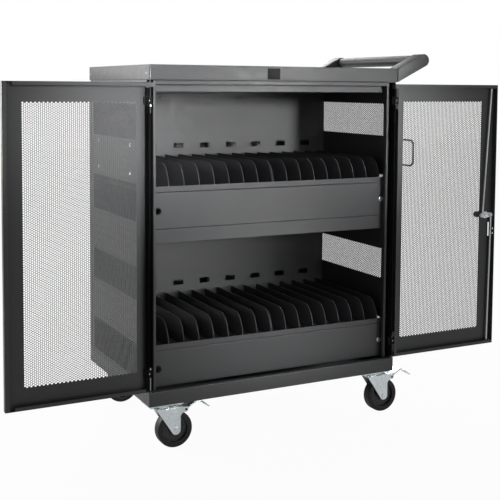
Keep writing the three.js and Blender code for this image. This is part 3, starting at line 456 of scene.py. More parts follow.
POWDER_COAT = Finish(
    "powder_coat", Slot.STEEL, (0.040, 0.041, 0.043), (0.36, 0.46), drift=0.09, dust=0.03
)
PERFORATED_COAT = Finish(
    "perforated_coat", Slot.MESH, (0.040, 0.041, 0.043), (0.36, 0.46), drift=0.09, dust=0.02
)
RACK_PLASTIC = Finish(
    "rack_plastic", Slot.RACK, (0.026, 0.026, 0.028), (0.42, 0.58), bump=0.25, dust=0.06
)
BLACK_PLASTIC = Finish(
    "black_plastic", Slot.PLASTIC, (0.012, 0.012, 0.013), (0.42, 0.58), bump=0.2, dust=0.08
)
# Near-black rubber for the sealing strips beside the door hinges. Its black is painted shade: it stands in for
# the deep shadow in the gaps beside the open doors.
SHADE_SEAL_RUBBER = Finish(
    "seal_rubber", Slot.PLASTIC, (0.003, 0.003, 0.003), (0.8, 0.95), specular=0.12, bump=0.3,
    drift=0.3, dust=0.02,
)
PLATE_GLOSS = Finish(
    "badge_gloss", Slot.PLASTIC, (0.004, 0.004, 0.005), (0.4, 0.55), specular=0.2, bump=0.04,
    dust=0.02,
)
TYRE_RUBBER = Finish(
    "tyre_rubber", Slot.RUBBER, (0.005, 0.005, 0.006), (0.44, 0.58), specular=0.4, bump=0.3, drift=0.4,
    drift_scale=30.0, dust=0.06,
)
# Dark copy of the pin steel for the upper hinge pins only, as painted shade; the lower pins, the same hardware,
# use the bright rod steel.
SHADED_PIN_STEEL = Finish(
    "painted_shade_pin", Slot.ZINC, (0.02, 0.02, 0.022), (0.4, 0.55), metallic=0.5, bump=0.1, drift=0.3,
    drift_scale=40.0, dust=0.02,
)
PIVOT_BLACK = Finish(
    "pivot_black", Slot.PLASTIC, (0.004, 0.004, 0.004), (0.5, 0.65), specular=0.2, bump=0.2,
    drift=0.3, dust=0.02,
)
ROD_STEEL = Finish(
    "rod_steel", Slot.ZINC, (0.58, 0.59, 0.60), (0.3, 0.42), metallic=1.0, bump=0.1, drift=0.2,
    drift_scale=40.0, dust=0.04,
)
WHEEL_CORE = Finish(
    "wheel_core", Slot.PLASTIC, (0.016, 0.016, 0.017), (0.22, 0.34), bump=0.1, dust=0.06
)
ZINC = ZincPlate(
    "zinc_plate", Slot.ZINC, (0.80, 0.86, 0.88), (0.2, 0.32), metallic=1.0, grain=400.0,
    bump=0.06, drift=0.2, drift_scale=18.0, dust=0.02, dent=0.006,
)


@dataclass
class Solid:
    """Closed bodies drawn in millimetres and gathered into one mesh."""

    bm: bmesh.types.BMesh = field(default_factory=bmesh.new)

    @classmethod
    def of_node(cls, node: str) -> "Solid":
        """Copy a CAD node, weld its loose triangles and merge what is flat.

        Args:
            node: the CAD node's name.

        Returns:
            A merged copy of the node, in millimetres.
        """
        made = cls()
        made.bm.from_mesh(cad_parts[node].data)
        bmesh.ops.scale(made.bm, vec=(1 / MM, 1 / MM, 1 / MM), verts=made.bm.verts)
        bmesh.ops.remove_doubles(made.bm, verts=made.bm.verts, dist=WELD)
        bmesh.ops.dissolve_limit(
            made.bm, angle_limit=FLAT_ANGLE, verts=made.bm.verts, edges=made.bm.edges
        )
        return made

    def prism(self, outline: Sequence[Pair], axis: Axis, low: float, high: float) -> "Solid":
        """Push a closed outline from low to high along an axis.

        Args:
            outline: the outline's points, in order.
            axis: the direction that it is pushed along.
            low: where it starts.
            high: where it ends.

        Returns:
            The solid itself, for more to be added.
        """
        ends = [
            [self.bm.verts.new(axis.point(a, b, along)) for a, b in outline]
            for along in (low, high)
        ]
        self.bm.faces.new(ends[0])
        self.bm.faces.new(list(reversed(ends[1])))
        for i in range(len(outline)):
            j = (i + 1) % len(outline)
            self.bm.faces.new((ends[0][j], ends[0][i], ends[1][i], ends[1][j]))
        return self

    def block(self, low: Triple, high: Triple) -> "Solid":
        """Add a block between two corners.

        Args:
            low: the corner with the lowest places.
            high: the corner with the highest.

        Returns:
            The solid itself, for more to be added.
        """
        outline = [
            (low[0], low[1]), (high[0], low[1]), (high[0], high[1]), (low[0], high[1])
        ]
        return self.prism(outline, Axis.Z, low[2], high[2])

    def lathe(
        self, profile: Sequence[Pair], axis: Axis, a: float, b: float, steps: int = 48
    ) -> "Solid":
        """Turn a profile about an axis.

        Args:
            profile: (radius, place along the axis) points; it closes onto itself unless it
                starts and ends at radius 0.
            axis: the axis that it turns about.
            a: where the axis stands, as an outline's first number.
            b: where the axis stands, as an outline's second number.
            steps: facets around.

        Returns:
            This solid.
        """
        rings = []
        for radius, along in profile:
            count = steps if radius > WELD else 1
            turns = [2 * math.pi * i / steps for i in range(count)]
            rings.append(
                [
                    self.bm.verts.new(
                        axis.point(a + radius * math.cos(t), b + radius * math.sin(t), along)
                    )
                    for t in turns
                ]
            )
        closed = profile[0][0] > WELD
        pairs = list(zip(rings, rings[1:]))
        if closed:
            pairs.append((rings[-1], rings[0]))
        for near, far in pairs:
            for i in range(steps):
                j = (i + 1) % steps
                corners = [
                    near[i % len(near)], near[j % len(near)],
                    far[j % len(far)], far[i % len(far)],
                ]
                distinct = list(dict.fromkeys(corners))
                if len(distinct) > 2:
                    self.bm.faces.new(distinct)
        return self

    def moved(self, turn: Matrix) -> "Solid":
        """Turn and shift everything gathered so far."""
        self.bm.transform(turn)
        return self

    def mesh(self) -> bpy.types.Mesh:
        """Give the bodies as a mesh with outward faces.

        Returns:
            The mesh, and the solid is used up.
        """
        bmesh.ops.recalc_face_normals(self.bm, faces=self.bm.faces)
        made = bpy.data.meshes.new("solid")
        self.bm.to_mesh(made)
        self.bm.free()
        return made


def ring(a: float, b: float, radius: float, steps: int = 32, start: float = 0.0) -> list[Pair]:
    """Points of a circle around (a, b), the first at the start angle."""
    turns = [start + 2 * math.pi * i / steps for i in range(steps)]
    return [(a + radius * math.cos(t), b + radius * math.sin(t)) for t in turns]


def arc(centre: Pair, radius: float, start: float, end: float, steps: int = 16) -> list[Pair]:
    """Points along an arc, both ends included."""
    turns = [start + (end - start) * i / steps for i in range(steps + 1)]
    return [(centre[0] + radius * math.cos(t), centre[1] + radius * math.sin(t)) for t in turns]


def rounded(a: Pair, b: Pair, radius: float, steps: int = 8) -> list[Pair]:
    """Outline of a rectangle over the spans a and b with rounded corners.

    Args:
        a: the rectangle's reach across.
        b: its reach upwards.
        radius: its corner radius.
        steps: segments in each corner.

    Returns:
        The outline's points, in order.
    """
    corners = [(a[1], b[1], 0), (a[0], b[1], 1), (a[0], b[0], 2), (a[1], b[0], 3)]
    points = []
    for x, y, quarter in corners:
        centre = (
            x - radius if x == a[1] else x + radius,
            y - radius if y == b[1] else y + radius,
        )
        start = quarter * math.pi / 2
        points += arc(centre, radius, start, start + math.pi / 2, steps)
    return points


def folded(path: Sequence[Pair], thickness: float = SHEET) -> list[Pair]:
    """Outline of a sheet folded along a path, with its thickness on the path's left.

    Args:
        path: the line that the sheet's outer face follows.
        thickness: the sheet's thickness.

    Returns:
        The closed outline of the folded sheet.
    """
    corners = [Vector(p) for p in path]
    inner = []
    for i, corner in enumerate(corners):
        before = corners[max(i - 1, 0)]
        after = corners[min(i + 1, len(corners) - 1)]
        leg_in = (corner - before if i else after - corner).normalized()
        leg_out = (after - corner if i < len(corners) - 1 else leg_in).normalized()
        normal_in = Vector((-leg_in.y, leg_in.x))
        mitre = (normal_in + Vector((-leg_out.y, leg_out.x))).normalized()
        inner.append(tuple(corner + mitre * (thickness / mitre.dot(normal_in))))
    return [tuple(c) for c in corners] + inner[::-1]


def tangent(start: Pair, centre: Pair, radius: float, side: int) -> float:
    """Angle on a circle where a line from an outside point touches it, on the chosen side."""
    away = Vector(start) - Vector(centre)
    return math.atan2(away.y, away.x) + side * math.acos(radius / away.length)


def evaluated(
    mesh: bpy.types.Mesh, dress: Sequence[tuple[str, dict[str, object]]]
) -> bpy.types.Mesh:
    """Put a mesh through modifiers and give the plain result.

    Args:
        mesh: the mesh to start from, which is used up.
        dress: (modifier type, its settings) of each modifier, in order.

    Returns:
        The finished mesh.
    """
    holder = bpy.data.objects.new("holder", mesh)
    bpy.context.scene.collection.objects.link(holder)
    for kind, settings in dress:
        added = holder.modifiers.new(kind.lower(), kind)
        for name, value in settings.items():
            setattr(added, name, value)
    graph = bpy.context.evaluated_depsgraph_get()
    result = bpy.data.meshes.new_from_object(holder.evaluated_get(graph))
    bpy.data.objects.remove(holder)
    bpy.data.meshes.remove(mesh)
    return result


def width_from(face: bmesh.types.BMFace, edge: bmesh.types.BMEdge) -> float:
    """Measure a face straight in from the middle of one of its edges.

    Args:
        face: the face.
        edge: one of the face's edges.

    Returns:
        The width up to the next bend, or infinity where only flat seams are crossed.
    """
    loop = next(one for one in face.loops if one.edge == edge)
    start, end = loop.vert.co, loop.link_loop_next.vert.co
    middle, along = (start + end) / 2, (end - start).normalized()
    inward = face.normal.cross(along)
    widths = [math.inf]
    for other in face.edges:
        if other == edge or other.calc_face_angle(0.0) < FLAT_ANGLE:
            continue
        near, far = (
            Vector(((v.co - middle).dot(along), (v.co - middle).dot(inward))) for v in other.verts
        )
        if near.x * far.x <= 0 and near.x != far.x:
            reach = near.y + (far.y - near.y) * near.x / (near.x - far.x)
            if reach > WELD:
                widths.append(reach)
    return min(widths)


def is_fold(edge: bmesh.types.BMEdge, radius: float) -> bool:
    """Whether an edge is the outside of a long fold, with room for a rounding.

    Args:
        edge: an edge of a sheet-metal solid.
        radius: the fold's radius.

    Returns:
        Whether the edge is a long fold that is bent and not cut.
    """
    if len(edge.link_faces) != 2 or edge.calc_length() < LEAST_FOLD:
        return False
    if edge.calc_face_angle(0.0) < SHARP_ANGLE or not edge.is_convex:
        return False
    return min(width_from(face, edge) for face in edge.link_faces) > 2.5 * radius


def bent(solid: Solid, radius: float = FOLD) -> bpy.types.Mesh:
    """Round the outside of a sheet's long folds and leave its cut edges crisp.

    Args:
        solid: the sheet, which is used up.
        radius: the rounding of a fold.

    Returns:
        The rounded mesh, shaded.
    """
    bmesh.ops.recalc_face_normals(solid.bm, faces=solid.bm.faces)
    folds = [edge for edge in solid.bm.edges if is_fold(edge, radius)]
    bmesh.ops.bevel(
        solid.bm, geom=folds, offset=radius, offset_type="OFFSET", segments=3, profile=0.5,
        affect="EDGES", clamp_overlap=False,
    )
    mesh = solid.mesh()
    shade(mesh, 12.0)
    return mesh


def eased(solid: Solid, width: float = 0.45, segments: int = 2) -> bpy.types.Mesh:
    """Round every edge of a solid a little.

    Args:
        solid: the solid, which is used up.
        width: how far an edge is rounded.
        segments: facets across the rounding.

    Returns:
        The rounded mesh, shaded.
    """
    settings = {
        "width": width, "segments": segments, "limit_method": "ANGLE", "angle_limit": SHARP_ANGLE
    }
    mesh = evaluated(solid.mesh(), [("BEVEL", settings)])
    shade(mesh)
    return mesh


def shade(mesh: bpy.types.Mesh, angle: float = 25.0) -> None:
    """Shade smooth, with edges sharper than the angle kept crisp."""
    mesh.shade_smooth()
    mesh.set_sharp_from_angle(angle=math.radians(angle))


def cut(solid: Solid, tool: Solid) -> Solid:
    """Take the tool's bodies out of a solid.

    Args:
        solid: what is cut, which is used up.
        tool: what is taken away, which is used up too.

    Returns:
        What is left of the solid.
    """
    cutter = bpy.data.objects.new("cutter", tool.mesh())
    bpy.context.scene.collection.objects.link(cutter)
    mesh = evaluated(
        solid.mesh(),
        [("BOOLEAN", {"operation": "DIFFERENCE", "solver": "EXACT", "object": cutter})],
    )
    spent = cutter.data
    bpy.data.objects.remove(cutter)
    bpy.data.meshes.remove(spent)
    made = Solid()
    made.bm.from_mesh(mesh)
    bpy.data.meshes.remove(mesh)
    return made


class Growth:
    """Geometry trees for what repeats or follows a path, each made once."""

    _made: dict[str, bpy.types.NodeTree] = {}

    @staticmethod
    def closing(
        build: TreeBuilder, given: bpy.types.Node, geometry: bpy.types.NodeSocket
    ) -> None:
        """End a tree: make instances real, set the material and hand the mesh out.

        Args:
            build: the tree that is being made.
            given: its input node.
            geometry: what it has grown.
        """
        real = build.node("GeometryNodeRealizeInstances", {"Geometry": geometry})
        painted = build.node(
            "GeometryNodeSetMaterial",
            {"Geometry": real.outputs[0], "Material": given.outputs["Material"]},
        )
        build.finish(Geometry=painted.outputs[0])

    @classmethod
    def perforation(cls) -> bpy.types.NodeTree:
        """Flat sheet of six-sided cells: open inside a window, plain around it.

        Returns:
            The node tree, made once and shared.
        """
        if "perforated_sheet" in cls._made:
            return cls._made["perforated_sheet"]
        build, given = new_tree(
            "perforated_sheet",
            "GeometryNodeTree",
            [
                ("Geometry", "NodeSocketGeometry", None),
                ("Columns", "NodeSocketInt", 8),
                ("Rows", "NodeSocketInt", 8),
                ("Pitch", "NodeSocketFloat", 6.3),
                ("Hole Share", "NodeSocketFloat", 0.86),
                ("Half Width", "NodeSocketFloat", 20.0),
                ("Half Height", "NodeSocketFloat", 20.0),
                ("Material", "NodeSocketMaterial", None),
            ],
            [("Geometry", "NodeSocketGeometry")],
        )
        get = given.outputs
        index = build.node("GeometryNodeInputIndex").outputs[0]
        column = build.math("FLOOR", build.math("DIVIDE", index, get["Rows"]))
        row = build.math("MODULO", index, get["Rows"])
        spread = build.math("MULTIPLY", get["Pitch"], math.sqrt(3) / 2)
        mid_column = build.math("MULTIPLY", build.math("SUBTRACT", get["Columns"], 1.0), 0.5)
        mid_row = build.math("MULTIPLY", build.math("SUBTRACT", get["Rows"], 0.5), 0.5)
        x = build.math("MULTIPLY", build.math("SUBTRACT", column, mid_column), spread)
        stagger = build.math("MULTIPLY", build.math("MODULO", column, 2.0), 0.5)
        lifted = build.math("ADD", build.math("SUBTRACT", row, mid_row), stagger)
        y = build.math("MULTIPLY", lifted, get["Pitch"])
        place = build.node("ShaderNodeCombineXYZ", {"X": x, "Y": y}).outputs[0]
        count = build.math("MULTIPLY", get["Columns"], get["Rows"])
        points = build.node("GeometryNodePoints", {"Count": count, "Position": place})
        at = build.node("GeometryNodeInputPosition").outputs[0]
        split = build.node("ShaderNodeSeparateXYZ", {0: at})
        inside = [
            build.node(
                "FunctionNodeCompare",
                {0: build.math("ABSOLUTE", split.outputs[axis]), 1: get[limit]},
                data_type="FLOAT",
                operation="LESS_THAN",
            ).outputs[0]
            for axis, limit in (("X", "Half Width"), ("Y", "Half Height"))
        ]
        is_open = build.node(
            "FunctionNodeBooleanMath", {0: inside[0], 1: inside[1]}, operation="AND"
        ).outputs[0]
        is_plain = build.node(
            "FunctionNodeBooleanMath", {0: is_open}, operation="NOT"
        ).outputs[0]
        radius = build.math("DIVIDE", get["Pitch"], math.sqrt(3))
        cell = build.node(
            "GeometryNodeMeshCircle", {"Vertices": 6, "Radius": radius}, fill_type="NGON"
        ).outputs[0]
        inset = build.node(
            "GeometryNodeExtrudeMesh", {"Mesh": cell, "Offset Scale": 0.0}, mode="FACES"
        )
        shrunk = build.node(
            "GeometryNodeScaleElements",
            {
                "Geometry": inset.outputs["Mesh"],
                "Selection": inset.outputs["Top"],
                "Scale": get["Hole Share"],
            },
        )
        opened = build.node(
            "GeometryNodeDeleteGeometry",
            {"Geometry": shrunk.outputs[0], "Selection": inset.outputs["Top"]},
            domain="FACE",
        )
        placed = [
            build.node(
                "GeometryNodeInstanceOnPoints",
                {"Points": points.outputs[0], "Selection": chosen, "Instance": body},
            ).outputs[0]
            for chosen, body in ((is_open, opened.outputs[0]), (is_plain, cell))
        ]
        both = build.node("GeometryNodeJoinGeometry")
        for instances in placed:
            build.tree.links.new(instances, both.inputs[0])
        cls.closing(build, given, both.outputs[0])
        cls._made["perforated_sheet"] = build.tree
        return build.tree

    @classmethod
    def fasteners(cls) -> bpy.types.NodeTree:
        """Screw or bolt heads with a recess, one on each point, along its facing.

        Returns:
            The node tree, made once and shared.
        """
        if "fasteners" in cls._made:
            return cls._made["fasteners"]
        build, given = new_tree(
            "fasteners",
            "GeometryNodeTree",
            [
                ("Geometry", "NodeSocketGeometry", None),
                ("Sides", "NodeSocketInt", 16),
                ("Radius", "NodeSocketFloat", 4.0),
                ("Height", "NodeSocketFloat", 2.0),
                ("Crown", "NodeSocketFloat", 0.7),
                ("Recess", "NodeSocketFloat", 0.5),
                ("Recess Depth", "NodeSocketFloat", 0.8),
                ("Material", "NodeSocketMaterial", None),
            ],
            [("Geometry", "NodeSocketGeometry")],
        )
        get = given.outputs
        top = build.math("MULTIPLY", get["Radius"], get["Crown"])
        head = build.node(
            "GeometryNodeMeshCone",
            {
                "Vertices": get["Sides"],
                "Side Segments": 1,
                "Radius Top": top,
                "Radius Bottom": get["Radius"],
                "Depth": get["Height"],
            },
            fill_type="NGON",
        )
        rim = build.node(
            "GeometryNodeExtrudeMesh",
            {"Mesh": head.outputs["Mesh"], "Selection": head.outputs["Top"], "Offset Scale": 0.0},
            mode="FACES",
        )
        shrunk = build.node(
            "GeometryNodeScaleElements",
            {
                "Geometry": rim.outputs["Mesh"],
                "Selection": rim.outputs["Top"],
                "Scale": get["Recess"],
            },
        )
        sunk = build.node(
            "GeometryNodeExtrudeMesh",
            {
                "Mesh": shrunk.outputs[0],
                "Selection": rim.outputs["Top"],
                "Offset Scale": build.math("MULTIPLY", get["Recess Depth"], -1.0),
            },
            mode="FACES",
        )
        facing = build.node("GeometryNodeInputNamedAttribute", {"Name": "facing"}, data_type="FLOAT_VECTOR")
        turn = build.node(
            "FunctionNodeAlignRotationToVector", {"Vector": facing.outputs[0]}, axis="Z"
        )
        heads = build.node(
            "GeometryNodeInstanceOnPoints",
            {
                "Points": get["Geometry"],
                "Instance": sunk.outputs["Mesh"],
                "Rotation": turn.outputs[0],
            },
        )
        cls.closing(build, given, heads.outputs[0])
        cls._made["fasteners"] = build.tree
        return build.tree

    @classmethod
    def swept_rod(cls) -> bpy.types.NodeTree:
        """Round rod along a line of points, bent at each corner.

        Returns:
            The node tree, made once and shared.
        """
        if "swept_rod" in cls._made:
            return cls._made["swept_rod"]
        build, given = new_tree(
            "swept_rod",
            "GeometryNodeTree",
            [
                ("Geometry", "NodeSocketGeometry", None),
                ("Radius", "NodeSocketFloat", 3.0),
                ("Bend", "NodeSocketFloat", 15.0),
                ("Material", "NodeSocketMaterial", None),
            ],
            [("Geometry", "NodeSocketGeometry")],
        )
        get = given.outputs
        line = build.node("GeometryNodeMeshToCurve", {"Mesh": get["Geometry"]})
        bent = build.node(
            "GeometryNodeFilletCurve",
            {"Curve": line.outputs[0], "Count": 10, "Radius": get["Bend"], "Limit Radius": True},
            mode="POLY",
        )
        section = build.node(
            "GeometryNodeCurvePrimitiveCircle", {"Resolution": 20, "Radius": get["Radius"]}
        )
        swept = build.node(
            "GeometryNodeCurveToMesh",
            {
                "Curve": bent.outputs[0],
                "Profile Curve": section.outputs[0],
                "Fill Caps": True,
            },
        )
        cls.closing(build, given, swept.outputs[0])
        cls._made["swept_rod"] = build.tree
        return build.tree

    @classmethod
    def repeat(cls) -> bpy.types.NodeTree:
        """The given body again and again along a line.

        Returns:
            The node tree, made once and shared.
        """
        if "repeat_along" in cls._made:
            return cls._made["repeat_along"]
        build, given = new_tree(
            "repeat_along",
            "GeometryNodeTree",
            [
                ("Geometry", "NodeSocketGeometry", None),
                ("Count", "NodeSocketInt", 4),
                ("Step", "NodeSocketVector", (45.0, 0.0, 0.0)),
                ("Material", "NodeSocketMaterial", None),
            ],
            [("Geometry", "NodeSocketGeometry")],
        )
        get = given.outputs
        line = build.node(
            "GeometryNodeMeshLine",
            {"Count": get["Count"], "Offset": get["Step"]},
            mode="OFFSET",
        )
        copies = build.node(
            "GeometryNodeInstanceOnPoints",
            {"Points": line.outputs[0], "Instance": get["Geometry"]},
        )
        cls.closing(build, given, copies.outputs[0])
        cls._made["repeat_along"] = build.tree
        return build.tree


def grown(
    tree: bpy.types.NodeTree, start: bpy.types.Mesh, values: dict[str, object]
) -> bpy.types.Mesh:
    """Run a geometry tree on a mesh and give the plain result.

    Args:
        tree: the geometry tree.
        start: the mesh that it starts from, which is used up.
        values: the tree's inputs by name.

    Returns:
        The grown mesh.
    """
    holder = bpy.data.objects.new("holder", start)
    bpy.context.scene.collection.objects.link(holder)
    added = holder.modifiers.new("growth", "NODES")
    added.node_group = tree
    names = {
        item.name: item.identifier
        for item in tree.interface.items_tree
        if item.item_type == "SOCKET" and item.in_out == "INPUT"
    }
    for name, value in values.items():
        added[names[name]] = value
    graph = bpy.context.evaluated_depsgraph_get()
    result = bpy.data.meshes.new_from_object(holder.evaluated_get(graph))
    bpy.data.objects.remove(holder)
    bpy.data.meshes.remove(start)
    return result


def carrier(
    points: Sequence[Triple],
    facings: Sequence[Triple] = (),
    joined: bool = False,
) -> bpy.types.Mesh:
    """Mesh of bare points for a tree to start from.

    Args:
        points: where the points are.
        facings: the direction that each point looks in, or none.
        joined: whether neighbouring points are joined into a line.

    Returns:
        The points' mesh.
    """
    mesh = bpy.data.meshes.new("carrier")
    edges = [(i, i + 1) for i in range(len(points) - 1)] if joined else []
    mesh.from_pydata(points, edges, [])
    if facings:
        attribute = mesh.attributes.new("facing", "FLOAT_VECTOR", "POINT")
        attribute.data.foreach_set("vector", [number for one in facings for number in one])
    return mesh


def joined(*meshes: bpy.types.Mesh) -> bpy.types.Mesh:
    """Gather meshes into one.

    Args:
        meshes: the meshes, which are used up.

    Returns:
        One mesh with all of them.
    """
    bm = bmesh.new()
    for mesh in meshes:
        bm.from_mesh(mesh)
        bpy.data.meshes.remove(mesh)
    made = bpy.data.meshes.new("joined")
    bm.to_mesh(made)
    bm.free()
    shade(made)
    return made


def heads(
    finish: Finish,
    points: Sequence[Triple],
    facing: Triple,
    radius: float,
    height: float,
    sides: int = 16,
    crown: float = 0.7,
    recess: float = 0.5,
    recess_depth: float = 0.8,
) -> bpy.types.Mesh:
    """Screw or bolt heads on points of one face.

    Args:
        finish: their finish.
        points: where they stand.
        facing: the direction that they look in.
        radius: half of a head's width.
        height: how far a head stands out.
        sides: six for a bolt, more for a round head.
        crown: the head's top radius as a share of its radius.
        recess: the recess's radius as a share of the top's.
        recess_depth: how deep the recess is; below 0 it is a raised point.

    Returns:
        The heads' mesh.
    """
    values = {
        "Sides": sides, "Radius": radius, "Height": height, "Crown": crown,
        "Recess": recess, "Recess Depth": recess_depth, "Material": finish.material(),
    }
    mesh = grown(Growth.fasteners(), carrier(points, [facing] * len(points)), values)
    shade(mesh, 30.0)
    return mesh


@dataclass
class PerforatedSheet:
    """A flat sheet with staggered six-sided holes inside a window."""

    width: Pair
    height: Pair
    window_width: Pair
    window_height: Pair
    pitch: float = 6.03
    share: float = 0.83
    thickness: float = SHEET

    def mesh(
        self, finish: Finish, axis: Axis, along: float, part: Pair | None = None
    ) -> bpy.types.Mesh:
        """Grow the sheet, trim it to its rectangle and give it its thickness.

        Args:
            finish: the sheet's finish.
            axis: the direction that the sheet's face looks along.
            along: where the sheet's lower face is on that axis.
            part: the share of the height to keep, as (from, to), or the whole.

        Returns:
            The sheet in place.
        """
        middle = (sum(self.window_width) / 2, sum(self.window_height) / 2)
        half_w = (self.window_width[1] - self.window_width[0]) / 2
        half_h = (self.window_height[1] - self.window_height[0]) / 2
        reach_w = max(abs(edge - middle[0]) for edge in self.width)
        reach_h = max(abs(edge - middle[1]) for edge in self.height)
        columns = 2 * math.ceil(reach_w / (self.pitch * math.sqrt(3) / 2)) + 3
        rows = 2 * math.ceil(reach_h / self.pitch) + 3
        hole = self.pitch / 2 * self.share
        mesh = grown(
            Growth.perforation(),
            bpy.data.meshes.new("start"),
            {
                "Columns": columns, "Rows": rows, "Pitch": self.pitch, "Hole Share": self.share,
                "Half Width": half_w - hole, "Half Height": half_h - hole,
                "Material": finish.material(),
            },
        )
        span = self.height[1] - self.height[0]
        low, high = part or (0.0, 1.0)
        bounds_h = (self.height[0] + low * span, self.height[0] + high * span)
        bm = bmesh.new()
        bm.from_mesh(mesh)
        bpy.data.meshes.remove(mesh)
        bmesh.ops.translate(bm, vec=(*middle, 0.0), verts=bm.verts)
        bmesh.ops.remove_doubles(bm, verts=bm.verts, dist=0.02)
        trims = [
            ((self.width[0], 0, 0), (-1, 0, 0)), ((self.width[1], 0, 0), (1, 0, 0)),
            ((0, bounds_h[0], 0), (0, -1, 0)), ((0, bounds_h[1], 0), (0, 1, 0)),
        ]
        for place, normal in trims:
            bmesh.ops.bisect_plane(
                bm, geom=[*bm.verts, *bm.edges, *bm.faces], plane_co=place, plane_no=normal,
                dist=WELD, clear_outer=True,
            )
        flat = bpy.data.meshes.new("flat")
        bm.to_mesh(flat)
        bm.free()
        solid = evaluated(
            flat, [("SOLIDIFY", {"thickness": self.thickness, "offset": 1.0, "use_even_offset": False})]
        )
        solid.transform(Matrix.Translation(axis.point(0, 0, along)) @ axis.from_flat())
        return solid


class Shop:
    """Finishes pieces: metres, a material and a body to ride on."""

    def __init__(self) -> None:
        """Start with nothing made."""
        self.count = 0

    def piece(
        self,
        name: str,
        mesh: bpy.types.Mesh,
        finish: Finish,
        body: str,
        *replaced: str,
    ) -> bpy.types.Object:
        """Turn a mesh into a piece of the cart.

        Args:
            name: the piece's name.
            mesh: its mesh in millimetres, already in place.
            finish: its finish.
            body: the CAD body that it rides on.
            *replaced: the CAD nodes that it stands for.

        Returns:
            The piece.
        """
        mesh.transform(Matrix.Scale(MM, 4))
        mesh.name = name
        mesh.materials.clear()
        mesh.materials.append(finish.material())
        mesh.polygons.foreach_set("material_index", [0] * len(mesh.polygons))
        made = bpy.data.objects.new(name, mesh)
        bpy.context.scene.collection.objects.link(made)
        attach(made, body)
        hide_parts(*replaced)
        self.count += 1
        log.info("%s: %d faces, on %s", name, len(mesh.polygons), body)
        return made


def span(node: str) -> tuple[Vector, Vector]:
    """Lowest and highest corner of a CAD node in millimetres."""
    low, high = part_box(node)
    return low / MM, high / MM


